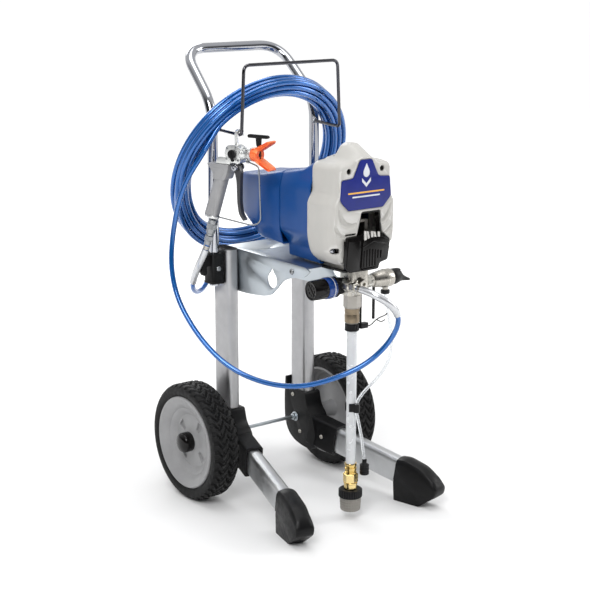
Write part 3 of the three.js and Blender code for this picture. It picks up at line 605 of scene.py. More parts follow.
hose_points = hose_path()
hose = mesh_object("paint_hose", [tube(hose_points, HOSE_R, 14)])
hose.data.shade_smooth()
hose.data.set_sharp_from_angle(angle=math.radians(60))
hose.data.materials.append(M["hose"])
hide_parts("hose_coil", "hose_lead", "hose_tail")
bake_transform(hose)


def sleeve(name, path, radius, inner, body):
    """A clear bend sleeve slid over the hose."""
    path = resample([Vector(p) for p in path], 5)
    count = 20
    inside, skin = [tube(path, r, count, caps=False) for r in (inner, radius)]
    points = inside[0] + skin[0]
    shift = len(inside[0])
    faces = [tuple(reversed(f)) for f in inside[1]] + [tuple(i + shift for i in f) for f in skin[1]]
    for row in (0, len(path) - 1):
        a, b = row * count, row * count + shift
        faces += [(a + i, a + (i + 1) % count, b + (i + 1) % count, b + i) for i in range(count)]
    return build(name, [(points, faces)], "milky", body=body, slot="clear_tube", smooth=60)


def stretch_of(points, low, high):
    """The part of a path between two distances from its start, in millimetres."""
    made, travelled = [], 0.0
    for a, b in zip(points, points[1:]):
        if low <= travelled <= high:
            made.append(a)
        travelled += (b - a).length
    return made


hose_reversed = list(reversed(hose_points))
SLEEVE_R, SLEEVE_BORE = 7.6, 5.7
outlet_sleeve = sleeve("outlet_bend_sleeve", stretch_of(hose_points, 8, 118), SLEEVE_R, SLEEVE_BORE, "cart")
gun_sleeve = sleeve("gun_bend_sleeve", stretch_of(hose_reversed, 8, 112), SLEEVE_R, SLEEVE_BORE, "handle")


# ---------------------------------------------------------------- cart frame
POST_X, POST_WIDE, POST_DEEP, POST_CORNER, POST_WALL = 103, 30, 58, 12, 2.5
POST_FOOT_Z, POST_TOP_Z = 148, 540
LEG_START, LEG_END = Vector((100, -44, 109)), Vector((164, -316, 57))
AXLE_Z, WHEEL_X = 127, 187


def leg_frame(side):
    """Lays a bar drawn along +Z down one leg, its width level and its depth upright."""
    start = Vector((side * LEG_START.x, LEG_START.y, LEG_START.z))
    end = Vector((side * LEG_END.x, LEG_END.y, LEG_END.z))
    way = (end - start).normalized()
    across = Vector((0, 0, 1)).cross(way).normalized()
    up = way.cross(across)
    return lambda p: tuple(start + across * p[0] + up * p[1] + way * p[2])


LEG_LENGTH = (LEG_END - LEG_START).length


def extruded_tube(low, high, centre=(0, 0)):
    outer, inner = [rounded_box(POST_WIDE - 2 * wall, POST_DEEP - 2 * wall, POST_CORNER - wall, centre)
                    for wall in (0, POST_WALL)]
    rings = []
    for outline, heights in ((outer, (low, low + 0.6, high - 0.6, high)), (inner, (high, low))):
        rings += [[(x, y, z) for x, y in outline] for z in heights]
    return loft(rings, loop=True)


def foot_shell():
    """The boot, drawn with +s forward: flat sole, rising nose, crowned top and a pressed side facet."""
    profile = filleted([(238, 0), (302, 0), (344, 30), (348, 46), (337, 66), (310, 86), (262, 98),
                        (243, 96), (236, 40)], [2, 6, 6, 10, 18, 24, 8, 4, 2], 4)
    rings = []
    for x, drop, tuck in ((-20, 16, 3), (-19, 9, 1.2), (-15.5, 3.5, 0.3), (-8, 0.8, 0), (0, 0, 0),
                          (8, 0.8, 0), (15.5, 3.5, 0.3), (19, 9, 1.2), (20, 16, 3)):
        rings.append([(x, -(s - (tuck + drop * 0.35 * ease((z - 40) / 40)) * ease((s - 300) / 30)),
                       z - drop * ease((z - 40) / 40)) for s, z in profile])
    return loft(rings)


def foot_facets():
    """The creased facets on both flanks of the nose."""
    facet = prism([(-228, -4), (-228, 46), (-262, 52), (-318, 6), (-318, -4)], 18.2, 24, "x")
    return [placed(facet, lambda p, side=side: (side * p[0], p[1], p[2])) for side in (-1, 1)]


def foot_lay(side):
    """Turns a boot drawn straight ahead to the heading of its leg."""
    heading = math.atan2((LEG_END - LEG_START).x, -(LEG_END - LEG_START).y)
    turn = Matrix.Rotation(heading * side, 3, "Z")
    base = Vector((side * LEG_START.x, LEG_START.y, 0))
    return lambda p: tuple(turn @ Vector(p) + base)


def screw(radius, height, centre, axis="y", facing=-1, socket=0.45):
    """A domed screw head with a recessed drive."""
    a, b, base = centre
    shape = ((radius, 0), (radius, 0.4), (radius * 0.85, 0.85), (radius * socket, 1),
             (radius * socket * 0.9, 0.25), (0.01, 0.2))
    return lathe([(r, base + facing * height * up) for r, up in shape], axis, (a, b), 20)


RIM_LOW, RIM_HIGH = POST_TOP_Z + 0.05, POST_TOP_Z + 1.6
for name, side in SIDES:
    stand_in(f"{name}_upright", [extruded_tube(POST_FOOT_Z, POST_TOP_Z, (side * POST_X, 0))], "aluminium")
    rim, rim_in = [rounded_box(POST_WIDE - less, POST_DEEP - less, corner, (side * POST_X, 0))
                   for less, corner in ((0.6, POST_CORNER), (4.4, POST_CORNER - 1.6))]
    rings = [[(x, y, z) for x, y in outline] for outline, z in
             ((rim, RIM_LOW), (rim, RIM_HIGH), (rim_in, RIM_HIGH), (rim_in, RIM_LOW))]
    build(f"{name}_upright_rim", [loft(rings, loop=True)], "black", of=f"{name}_corner_bracket",
          slot="black_plastic")
    lay = leg_frame(side)
    stand_in(f"{name}_leg", [extruded_tube(0, LEG_LENGTH)], "leg", place=lay)
    put_on = foot_lay(side)
    facets = [placed(facet, put_on) for facet in foot_facets()]
    socket = prism(rounded_box(POST_WIDE + 0.8, POST_DEEP + 0.8, POST_CORNER), 0, LEG_LENGTH + 0.4, "z")
    stand_in(f"{name}_foot_cap", [placed(foot_shell(), put_on)], "black", bevel=1.2, segments=2,
             cuts=facets + [placed(socket, lay)], edge_angle=38, slot="black_plastic")


def bracket_shells(side):
    """The corner moulding that joins the upright and the leg, seen from the side."""
    outline = [(-35, 190), (31, 190), (33, 214), (37, 214), (41, 160), (39, 112), (27, 86), (6, 71),
               (-24, 64), (-60, 62), (-75, 100), (-62, 142), (-44, 158)]
    low, high = sorted((side * 82, side * 124))
    return [slab(outline, [5, 3, 1, 1, 20, 24, 20, 16, 14, 8, 12, 18, 14], low, high, "x", 5)]


AXLE = (0, AXLE_Z)
for name, side in SIDES:
    lay = leg_frame(side)
    node = f"{name}_corner_bracket"
    sleeve_shell = placed(prism(rounded_box(40, 68, 7), 0.5, 76, "z"), lay)
    leg_core = placed(prism(rounded_box(30.8, 58.8, 8), -0.4, 120, "z"), lay)
    post_core = prism(rounded_box(30.8, 58.8, 8, (side * POST_X, 0)), POST_FOOT_Z - 0.4, 400, "z")
    stand_in(node, bracket_shells(side) + [sleeve_shell], "black", bevel=2.4,
             cuts=[post_core, leg_core, bore(4.4, 60 * side, 150 * side, "x", AXLE, 20)])
    outer, inner = side * 124, side * 82
    rib = spline([(outer, -58, 96), (outer, -36, 100), (outer, -10, 112), (outer, 12, 134),
                  (outer, 22, 166)], 4)
    build(f"{name}_bracket_rib", [sweep(rib, rounded_box(3.2, 5, 1.2))], "black", of=node)
    heads = [screw(4.6, 2.2, (y, z, inner), "x", -side) for y, z in ((9, 177), (-96, 104), (-18, 96))]
    build(f"{name}_bracket_rivets", heads, "nickel", of=node, slot="machined_steel")
    nut_low, nut_high = sorted((side * 81.6, side * 74))
    nut = prism(hexagon(8, AXLE), nut_low, nut_high, "x")
    build(f"{name}_axle_nut", [nut, lathe([(11, side * 81.9), (11, side * 80.4)], "x", AXLE, 24)],
          "zinc", of="axle", bevel=0.8)

stand_in("axle", [lathe([(0.01, -214.5), (3.2, -214.5), (4, -213.6), (4, 213.6), (3.2, 214.5),
                         (0.01, 214.5)], "x", AXLE, 24)], "zinc")

# ---------------------------------------------------------------- wheels
TREAD_AROUND, TREAD_PITCHES = 480, 40
TREAD_DEPTH = 3.4


def tread_height(around, across):
    """How deep the groove is here, 0 to 1: two rows of chevrons and notched shoulders."""
    row = abs(across)
    zigzag = abs((across / 13.0) % 2 - 1)
    phase = (around * TREAD_PITCHES + zigzag * 0.9 + (0.5 if across < 0 else 0)) % 1
    if row > 24:
        phase = (around * TREAD_PITCHES + (0.25 if across < 0 else 0.75)) % 1
        return 1 if phase < 0.34 else 0
    if 11.2 < row < 13.2:
        return 1 if (around * TREAD_PITCHES * 2 + zigzag) % 1 < 0.55 else 0
    return 1 if phase < 0.36 else 0


def tyre_shell(side):
    """The tyre's section as (radius, across, 1 where there is tread), turned about the axle."""
    contour = [(100.4, -27, 0), (103, -29.6, 0), (108, -31.2, 0), (112, -32, 0), (117, -31.8, 0),
               (120.4, -30.6, 0)]
    for k in range(31):
        y = -29.5 + 59 * k / 30
        lift = min(1, max(0, (abs(y) - 19) / 11)) ** 2
        contour.append((127 - 5.6 * lift, y, 1))
    contour += [(r, -y, 0) for r, y, _ in reversed(contour[:6])]
    rings = []
    for r, y, tread in contour:
        ring = []
        for i in range(TREAD_AROUND):
            angle = 2 * math.pi * i / TREAD_AROUND
            radius = r - (TREAD_DEPTH * tread_height(i / TREAD_AROUND, y) if tread else 0)
            ring.append((side * (WHEEL_X + y), radius * math.cos(angle), AXLE_Z + radius * math.sin(angle)))
        rings.append(ring)
    return loft(rings, loop=True)


RIM_PROFILE = [
    (4.6, -38), (15, -37.6), (17, -36), (17.5, -4), (20, 1), (56, 2), (70, 9), (86, 13), (90.5, 8),
    (93, -24), (95, -27.2), (100.2, -28), (100.2, 30), (98, 32.2), (95.6, 32.2), (93.4, 31), (84, 26.6),
    (74.4, 20.6), (73.4, 19), (71, 18.6), (62, 11.5), (58.5, 8.7), (57, 8.7), (55.6, 9.4), (34, 9.2),
    (26, 10.4), (21, 13.5), (18, 18), (17, 25.4), (16, 26), (4.6, 26),
]
HUB_CAP = [(0.01, 26.8), (17.5, 26.8), (17.5, 16), (21, 16), (21.8, 17.4), (21.8, 31), (21, 34.4),
           (18.6, 37.4), (14, 39.6), (8, 41), (0.01, 41.4)]


def rim_slots(side):
    """Four slots round the hub, each a short arc."""
    tools = []
    for k in range(4):
        middle = math.radians(38 + 90 * k)
        outline = []
        for radius, half in ((54, -0.19), (33, 0.15)):
            for i in range(9):
                t = middle + half * (1 - i / 4)
                outline.append((radius * math.cos(t), AXLE_Z + radius * math.sin(t)))
        tools.append(slab(outline, 1.5, side * (WHEEL_X + 4), side * (WHEEL_X + 18), "x", 2))
    return tools


for name, side in SIDES:
    stand_in(f"{name}_tyre", [tyre_shell(side)], "rubber", smooth=28)
    rim_turn, cap_turn = [[(r, side * (WHEEL_X + h)) for r, h in profile]
                          for profile in (RIM_PROFILE, HUB_CAP)]
    stand_in(f"{name}_rim", [lathe(rim_turn, "x", AXLE, 96, loop=True)], "rim", cuts=rim_slots(side),
             bevel=0.7, segments=2)
    stand_in(f"{name}_hub_cap", [lathe(cap_turn, "x", AXLE, 40)], "black_gloss")

# ---------------------------------------------------------------- tray, handle, rack and guides
TRAY_X = 87.6


def tray_shape():
    flange = [(24, POST_TOP_Z), (-258, POST_TOP_Z), (-274, 534), (-256, 519), (-214, 511), (-184, 500),
              (-162, 478), (-142, 461), (-112, 454), (-60, 449), (24, 447)]
    keyhole = []
    for angle in around(48):
        away = abs((math.degrees(angle) - 90 + 180) % 360 - 180)
        reach = 17 + 9 * max(0, 1 - away / 26) ** 1.3
        keyhole.append((-146 + reach * math.cos(angle), 494 + reach * math.sin(angle)))
    hollow = block(-TRAY_X + 2.5, TRAY_X - 2.5, -400, 100, 300, POST_TOP_Z - 2.5)
    slots = [prism(rounded_box(34, 8, 3.9, (x, -60)), 530, 545, "z") for x in (-45, 45)]
    plate = slab(flange, [2, 4, 3, 12, 26, 30, 26, 24, 24, 20, 6], -TRAY_X, TRAY_X, "x", 6)
    stand_in("pump_tray", [plate], "zinc", cuts=[hollow, prism(keyhole, -100, 100, "x")] + slots,
             bevel=0.9, segments=2)
    bolts = [screw(6, 3, (-214, 524, side * TRAY_X), "x", side) for side in (-1, 1)]
    build("tray_screws", bolts, "steel", of="pump_tray")


tray_shape()

GRIP_X, GRIP_TOP_X, TUBE_R = 133, 124, 11
HANDLE_FOOT_Z, HANDLE_BEND_Z, HANDLE_TOP = 463, 842, (119, 952)
handle_path = bent([
    (-GRIP_X, 0, HANDLE_FOOT_Z), (-GRIP_X, 0, HANDLE_BEND_Z), (-GRIP_TOP_X, *HANDLE_TOP),
    (GRIP_TOP_X, *HANDLE_TOP), (GRIP_X, 0, HANDLE_BEND_Z), (GRIP_X, 0, HANDLE_FOOT_Z)],
    [45, 55, 55, 45], 14)
stand_in("handle", [tube(resample(handle_path, 7), TUBE_R - 0.15, 28)], "chrome", smooth=60)
RACK_ARM_X, RACK_ARM_Z, RACK_Y = 126, 791, -97
rack_path = bent([
    (-RACK_ARM_X, -TUBE_R - 0.4, RACK_ARM_Z + 4), (-RACK_ARM_X - 1, RACK_Y, RACK_ARM_Z),
    (-120, RACK_Y, 931), (120, RACK_Y, 931), (RACK_ARM_X + 1, RACK_Y, RACK_ARM_Z),
    (RACK_ARM_X, -TUBE_R - 0.4, RACK_ARM_Z + 4)], [9, 14, 14, 9], 10)
stand_in("hose_rack", [tube(resample(rack_path, 4), 3.5, 16)], "chrome_painted_dark", smooth=60)
lump = [(0.01, -14.5), (4.2, -14), (6, -12.2), (5.6, -9.5), (0.01, -8.5)]
build("rack_welds", [lathe(lump, "y", (side * 127, RACK_ARM_Z + 4), 20) for side in (-1, 1)], "steel",
      of="hose_rack")


def guide_shape(name, side):
    """The clamp that the handle slides through: a ribbed sleeve, a clamp knob and the cord hook."""
    body = slab([(side * x, y) for x, y in ((118.4, -17), (148, -17), (148, 17), (118.4, 17))], 5,
                468, 534, "z", 5)
    hook = slab([(side * x, z) for x, z in ((146, 531), (158, 531), (163, 529), (167, 524), (166.6, 498),
                                            (163, 487), (158.5, 488), (156, 494), (156, 507), (146, 507))],
                [0.5, 3, 3, 4, 8, 3, 2, 4, 3, 0.5], -6.8, 6.8)
    ribs = [prism(rounded_box(31.6, 36.4, 5.5, (side * 133.2, 0)), z, z + 4.4, "z") for z in (468.3, 529.4)]
    stand_in(f"{name}_handle_guide", [body, hook] + ribs, "black", bevel=1.2,
             cuts=[bore(TUBE_R + 0.4, 440, 560, centre=(side * GRIP_X, 0))])
    build(f"{name}_guide_screw", [screw(5.4, 2.2, (side * 133, 501, -17), "y", -1)], "steel",
          of=f"{name}_handle_guide", slot="machined_steel")


for name, side in SIDES:
    guide_shape(name, side)

# ---------------------------------------------------------------- shroud
SHROUD_HALF, SKIRT_Z = 77, 560
SHROUD_STATIONS = [       # y, half width, top, bottom, rise of the shoulder line
    (9, 56.2, 696.5, 613.5, 676), (6, 57.8, 698, 612, 676), (-30, 64.4, 701, 592, 678),
    (-60, 70.6, 704.6, 575, 681), (-72, 73, 706, 572.5, 682), (-92, 77, 709, 571, 684),
    (-156, 77, 721, 569, 692), (-157, 77, 721.4, 545, 692), (-221, 77, 734, 544, 699),
    (-236, 77, 742, 543.6, 700), (-252, 77, 752, 543.4, 700), (-258, 77, 756.5, 543, 700),
]


def shroud_ring(y, half, top, bottom, shoulder):
    """A cross-section: a flat crown, a sloping shoulder facet, upright flanks and a tucked skirt."""
    crown = SHROUD_HALF - 0.2857 * (top - 688) - (SHROUD_HALF - half)
    skirted = bottom < SKIRT_Z
    half_ring = [(crown, top), (half, shoulder), (half, 604 if bottom < 600 else bottom + 8),
                 (half - (25 if skirted else 10), max(bottom, 572) if skirted else bottom)]
    radii = [9, 13, 8, 5]
    if skirted:
        half_ring.append((half - 26, bottom))
        radii.append(4)
    outline = half_ring + [(-a, b) for a, b in reversed(half_ring)]
    return [(a, y, b) for a, b in filleted(outline, radii + radii[::-1], 4)]


def shroud_hollow(stations, wall=3):
    """The same cross-sections a wall's thickness further in."""
    rings = [shroud_ring(*station) for station in stations]
    return [[(a, ring[0][1], b) for a, b in inset([(x, z) for x, _, z in ring], wall)] for ring in rings]


def shroud_shape():
    plain = [s for s in SHROUD_STATIONS if s[3] > SKIRT_Z]
    skirted = [s for s in SHROUD_STATIONS if s[3] < SKIRT_Z]
    vents = [prism(rounded_box(68, 5, 2.4, (-8, 624.5 + 13 * row)), -6, 30, "y") for row in range(5)]
    switch_hole = block(70, 90, -222, -196, 612, 630)
    for name, stations, ends, holes in (("motor_shroud_shape", skirted, {-1: -262}, [switch_hole]),
                                        ("motor_shroud_rear", plain, {0: 5.5, -1: -160}, vents)):
        hollow = shroud_hollow(stations)
        for i, y in ends.items():
            hollow[i] = [(a, y, b) for a, _, b in hollow[i]]
        build(name, [loft([shroud_ring(*s) for s in stations])], "shroud", of="motor_shroud",
              replaces=("motor_shroud",), cuts=[loft(hollow)] + holes, bevel=1.4)


shroud_shape()
seam = shroud_ring(-157, 77.35, 721.8, 568.2, 692)
rings = [[(a * f, y, (b - 640) * f + 640) for a, _, b in seam] for y, f in
         ((-155.4, 1.0), (-155.4, 1.006), (-158.4, 1.006), (-158.4, 1.0))]
build("shroud_seam_bead", [loft(rings, caps=False, loop=True)], "shroud", of="motor_shroud")
build("switch_bezel", [prism(rounded_box(29, 21, 2, (-209, 621)), 76.6, 78.6, "x")], "black",
      of="motor_shroud", slot="black_plastic", cuts=[block(70, 90, -221.8, -196.2, 613, 629)], bevel=0.6)
rocker = block(-1.5, 4, -221.4, -196.6, -7.6, 7.6)
SWITCH_TURN = Matrix.Rotation(math.radians(-8), 3, "Y")
stand_in("power_switch", [rocker, prism(hexagon(1.6, (-215, 0), sides=16), 3.9, 4.5, "x"),
                          block(3.9, 4.5, -204, -201.6, -2.6, 2.6)], "black", bevel=0.7,
         place=lambda p: tuple(SWITCH_TURN @ Vector(p) + Vector((76, 0, 621))))
gland = [(0.01, 7.8), (9, 7.8), (9, 11), (8.4, 12), (6.4, 12.4), (6, 14), (6.3, 15), (5.5, 16), (5.9, 17.5),
         (5, 18.5), (5.4, 20), (4.6, 21), (4.6, 24), (2.8, 24), (2.8, 14), (0.01, 14)]
stand_in("cord_gland", [lathe(gland, "y", (43, 632), 32)], "black")

# ---------------------------------------------------------------- front cover
PUMP_Y = -300
PUMP = (0, PUMP_Y)            # the pump's upright centre line
COVER_HALF = [(13, 787), (34, 755.5), (61, 752.5), (70, 743), (70.6, 695), (83, 673), (83, 601),
              (73.5, 568), (49, 548.5)]
COVER_RADII = [10, 9, 9, 9, 5, 6, 18, 14, 9]
HUMP_Z, HUMP_TALL, FLANK_X = 758, 28, 58
CUT_FROM = -350               # in front of everything on the cover's face
COVER_SKIN = [            # y, how far in from the outline, how far the face is squeezed
    (-258.6, 0), (-269, 0), (-271, 0), (-273.5, 0), (-276, 0), (-278.5, 0), (-281, 0), (-298, 0),
    (-318, 0.8), (-323, 1.6, 1.4), (-326.5, 2.0, 3.4), (-329, 2.4, 4), (-333, 3.0, 4.2),
    (-336, 4.6, 4.3), (-337.5, 7.0, 4.2), (-338, 10.5, 4),
]
COVER_HOLLOW = [
    (-255, 10), (-262.4, 10), (-263.4, 3.2), (-274, 3.2), (-284, 3.2), (-298, 3.2), (-318, 4.2),
    (-324, 7, 3.6), (-333, 9, 4.6),
]


def cover_outline(extra=0.0):
    outline = filleted(both_sides(COVER_HALF), COVER_RADII + COVER_RADII[::-1], 5)
    return inset(outline, extra) if extra else outline


def cover_ring(y, extra, squeeze=0.0):
    """The cover's outline at a depth. The hump leans back and narrows toward the face, and the face
    itself is drawn in from the flanks by squeeze."""
    lean = ease((-300 - y) / 38)
    rear = ease((y + 280) / 10)
    ring = []
    for x, z in cover_outline(extra):
        over = max(0.0, z - HUMP_Z) / HUMP_TALL
        z -= over * (21 * lean + 24 * rear)
        x *= 1 - 0.32 * over * lean
        flank = ease((abs(x) - FLANK_X) / 14)
        x -= math.copysign(squeeze * flank, x)
        ring.append((x, y, z))
    return ring


def cover_shape():
    """The shell with its window, its slit, the door's recess, two grooves on each side and the screw
    pockets."""
    window = slab([(-10, 656), (40, 656), (46, 600), (-24, 600), (-14, 640)], 4, CUT_FROM, -320, steps=3)
    slit = prism(rounded_box(28, 4.2, 2, (-37, 613)), CUT_FROM, -320)
    hatch = slab([(-50, 609), (-57, 549), (-46, 530), (46, 530), (57, 552), (62, 597), (44, 612)], 5,
                 CUT_FROM, -329, steps=3)
    through = slab([(-44, 603), (-46, 530), (46, 530), (46, 603)], 4, CUT_FROM, -316, steps=3)
    badge_seat = slab(both_sides(inset_badge(-1.1)), 3, CUT_FROM, -337.2, steps=3)
    cuts = [loft([cover_ring(*station) for station in COVER_HOLLOW]), window, slit, hatch, through,
            bore(14, 530, 565, centre=PUMP), badge_seat]
    for side in (-1, 1):
        for radius, thin, *route in (
                (7, 0.6, (66, -341.5, 668), (63, -340.6, 650), (53, -340, 635), (38, -340, 628),
                 (22, -341, 634)),
                (5.2, 0.55, (79, -339.5, 652), (76, -339.5, 630), (66, -339, 615), (50, -339, 608))):
            path = spline([(side * x, y, z) for x, y, z in route], 2.5)
            cuts.append(tube(path, radius, 16,
                             scale=lambda t, thin=thin: thin + (1 - thin) * math.sin(math.pi * t)))
    for (x, z), radius, bottom in zip(COVER_SCREWS, (6, 6, 7, 7), (-333, -333, -320, -320)):
        cuts.append(bore(radius, CUT_FROM, bottom, "y", (x, z), 24))
    stand_in("front_cover", [loft([cover_ring(*station) for station in COVER_SKIN])], "cover", cuts=cuts,
             bevel=0.8, segments=2, smooth=40)


BADGE_HALF = [(15, 759), (32, 724), (61, 722), (65, 682), (44, 661)]
COVER_SCREWS = [(-42, 738), (42, 738), (-69, 583), (69, 583)]


def inset_badge(amount):
    outline = inset(both_sides(BADGE_HALF), amount)
    return outline[:len(BADGE_HALF)]


cover_shape()
plate = filleted(both_sides(BADGE_HALF), [4, 8, 4, 5, 5] * 2, 4)
stand_in("badge_panel", [loft([[(x, y, z) for x, z in inset(plate, a)] for y, a in
                               ((-338.4, 0.2), (-339.6, 0.2), (-340.2, 0.9), (-340.3, 1.4))])], "badge")
PRINT_Y = -340.2
chevron = [(-11, 716), (0, 705), (11, 716), (11, 723), (0, 712), (-11, 723)]
drop = filleted([(0, 752), (8, 736), (7.5, 728), (0, 723.5), (-7.5, 728), (-8, 736)], [1, 4, 4, 4, 4, 4], 4)
build("badge_emblem", [prism(drop, PRINT_Y, -340.7), prism(chevron, PRINT_Y, -340.7)], "pale_print",
      of="badge_panel")
for name, wide, z, print_colour in (("badge_stripes", 92, 695, "gold_print"),
                                    ("badge_stripe_lower", 70, 687, "pale_print")):
    stripe = prism(rounded_box(wide, 3.0, 1.4, (0, z)), PRINT_Y, -340.6)
    build(name, [stripe], print_colour, of="badge_panel")
build("cover_screws", [screw(5.6, 3.4, (x, z, -333.4)) for x, z in COVER_SCREWS[:2]], "black_gloss",
      of="front_cover", slot="black_plastic")
build("cover_lower_screws", [screw(5.4, 4.4, (x, z, -321)) for x, z in COVER_SCREWS[2:]], "chrome",
      of="front_cover", slot="machined_steel")

# ---------------------------------------------------------------- pump door
DOOR_OUTLINE = [(-49.7, 607.7), (-55.7, 548.3), (-44, 538.3), (29.8, 538.3), (33.8, 550.3), (53.8, 554.3),
                (59.7, 596), (39.8, 609.7), (10, 611.7)]
DOOR_PANEL = [(-12, 598), (-16, 543), (27, 542), (31, 554), (50, 557.5), (54, 594), (38, 603), (8, 605)]


def door_shape():
    """The plate, a raised ribbed panel, the finger lip and the hinge barrel on its left edge."""
    plate = slab(DOOR_OUTLINE, [4, 4, 5, 3, 3, 5, 6, 5, 6], -338.5, -344.6)
    left = slab([(-47, 603), (-52.5, 549), (-43, 541.5), (-20, 541.5), (-17, 600)], 3, -344.2, -345.6,
                steps=3)
    panel = slab(DOOR_PANEL, [4, 4, 3, 3, 5, 5, 5, 5], -344.2, -347.4)
    ribs = []
    for i in range(7):
        x = -9 + 7.2 * i
        top = 582 - 1.5 * abs(i - 2)
        bottom = 546 if i < 5 else 560
        ribs.append(prism(rounded_box(3.0, top - bottom, 1.4, (x, (top + bottom) / 2)), -347, -348.9))
    crease = prism([(-14, 588), (14, 598), (50, 588), (50, 585), (14, 594.6), (-14, 584.6)], -347, -348.4)
    lip = prism(rounded_box(34, 5, 2, (4, 541.5)), -344.2, -348.6)
    barrel = bore(2.6, 552, 603, centre=(-54.2, -342.6), sides=20)
    stand_in("access_door", [plate, left, panel, crease, lip, barrel] + ribs, "black_gloss", bevel=0.5,
             segments=2)
    teeth = []
    for i in range(5):
        x = -8 + 8.6 * i
        lean = 4.2 if i % 2 else 1.4
        top = 619 - 1.2 * i
        teeth.append(prism([(x, 600), (x + 5.4, 600), (x + 5.4 - lean, top - 1), (x + 1 - lean, top)],
                           -344.4, -347.2))
    build("door_latch_teeth", teeth, "cover", of="access_door", slot="cover_grey", bevel=0.4)


door_shape()
frame_outer = filleted([(-11, 655), (39, 655), (45, 601), (-23, 601), (-13, 640)], [3, 7, 3, 3, 6], 5)
frame_inner = inset(frame_outer, 3.2)
rings = [[(x, y, z) for x, z in outline] for outline, y in
         ((frame_outer, -322), (frame_outer, -335.5), (frame_inner, -335.5), (frame_inner, -322))]
build("window_frame", [loft(rings, loop=True)], "black_gloss", of="front_cover", slot="black_plastic")
# A black plate under the housing that darkens the gap between the cover and the tray.
gap_dark_plate = slab([(-50, -262), (44, -262), (44, -318), (-46, -334)], [3, 3, 8, 8], 536.6, 540.4, "z")
build("housing_gap_dark_plate", [gap_dark_plate], "black_gloss", of="drive_housing", slot="black_plastic",
      bevel=0.6, cuts=[bore(30, 530, 545, centre=PUMP)])
keep("cast", "drive_housing", "yoke")
keep("steel", "motor_can", "reduction_gear", "crank", "pump_rod")
keep("copper", "rotor_shaft")
keep("black", "cooling_fan")

# ---------------------------------------------------------------- fluid section
VALVE_Z = 503


def bar(axis, low, high, radius, centre, top=None, ease_off=0.8, sides=40):
    """A turned bar with eased ends; top is the radius at the high end of a taper."""
    top = radius if top is None else top
    return lathe([(radius - ease_off, low), (radius, low + ease_off), (top, high - ease_off),
                  (top - ease_off, high)], axis, centre, sides)


def hex_bar(axis, low, high, radius, centre, turn=0.0):
    """A hexagon bar whose corners are chamfered like a nut's."""
    outline = hexagon(radius, turn=turn)
    return loft([[along(axis, height, centre[0] + a * shrink, centre[1] + b * shrink) for a, b in outline]
                 for height, shrink in ((low, 0.9), (low + 1.2, 1), (high - 1.2, 1), (high, 0.9))])


def knurled(axis, low, high, radius, centre, teeth, depth=0.7):
    """A ring of square teeth, for a grip."""
    outline = []
    for i in range(teeth):
        for part, r in ((0, radius - depth), (0.22, radius), (0.5, radius), (0.72, radius - depth)):
            angle = 2 * math.pi * (i + part) / teeth
            outline.append((centre[0] + r * math.cos(angle), centre[1] + r * math.sin(angle)))
    return prism(outline, low, high, axis)


def threads(axis, low, high, radius, centre, pitch=1.6, depth=0.8):
    """Parallel thread crests along a bar."""
    profile = []
    turns = int(abs(high - low) / pitch)
    for i in range(turns):
        start = low + (high - low) * i / turns
        profile += [(radius - depth, start), (radius, start + (high - low) / turns * 0.5)]
    ends = [(radius - 2, low)], [(radius - depth, high), (radius - 2, high)]
    return lathe(ends[0] + profile + ends[1], axis, centre, 32)


def manifold_shape():
    core = prism(rounded_box(51.4, 35.4, 9, (4, PUMP_Y)), 482.3, 539.7, "z")
    waist = bar("z", 482.2, 496, 19.4, PUMP, ease_off=2)
    boss = lathe([(9, -331.8), (11.6, -330), (12, -326), (12, -318), (10.4, -314), (10.4, -309)], "y",
                 (-27, 506), 32)
    neck = prism(rounded_box(14, 17, 5, (-20, 506)), -318, -292)
    plug_at = (6, 506)
    plug = hex_bar("y", -330, -316, 11, plug_at, 0.5)
    plug_collar = bar("y", -321, -315, 12.6, plug_at, ease_off=1.4)
    stand_in("fluid_manifold", [core, waist, boss, neck, plug, plug_collar], "nickel",
             cuts=[prism(hexagon(4.2, plug_at), -334, -325)], bevel=0.7)


def outlet_shape():
    centre = (-27, 506)
    shells = [hex_bar("y", -346.5, -334.2, 11, centre, 0.26), bar("y", -350, -345, 7.4, centre),
              bar("y", -335, -332.4, 8.4, centre, ease_off=0.4),
              bar("y", -348.2, -346, 8.6, centre, ease_off=0.6)]
    stand_in("outlet_fitting", shells, "nickel")
    grip = stretch_of(resample(hose_points[:6], 2.5), 0.4, 13)
    build("outlet_ferrule", [tube(grip, 6.9, 28)], "nickel", of="outlet_fitting")


def cylinder_shape():
    stand_in("pump_cylinder", [hex_bar("z", 454.4, 481.5, 18, PUMP, 0.38),
                               bar("z", 408.2, 456, 12.5, PUMP)], "cast",
             cuts=[bore(6, 400, 520, centre=PUMP, sides=24)])
    sleeve_profile = [(12, 423.6), (15.4, 424.2), (15.4, 440), (15.0, 441), (15.0, 444), (15.5, 445),
                      (15.5, 453), (14.6, 454.2), (12, 454.2)]
    build("cylinder_sleeve", [lathe(sleeve_profile, "z", PUMP, 48)], "bronze", of="pump_cylinder",
          slot="brass_fitting")
    seam = lathe([(13, 453.6), (16.4, 453.6), (16.4, 455.8), (13, 455.8)], "z", PUMP, 48)
    build("cylinder_collar", [seam], "cast", of="pump_cylinder")


def jam_nut_shape():
    body = knurled("z", 407, 420.4, 14.6, PUMP, 12, 0.9)
    flange = bar("z", 406.2, 409.6, 15, PUMP, ease_off=1)
    lip = bar("z", 418.4, 421, 14.4, PUMP)
    lug = prism(rounded_box(20, 13, 3, (24, -306)), 409, 419, "z")
    stand_in("jam_nut", [body, flange, lip, lug], "black",
             cuts=[bore(12.9, 400, 430, centre=PUMP)], bevel=0.6)


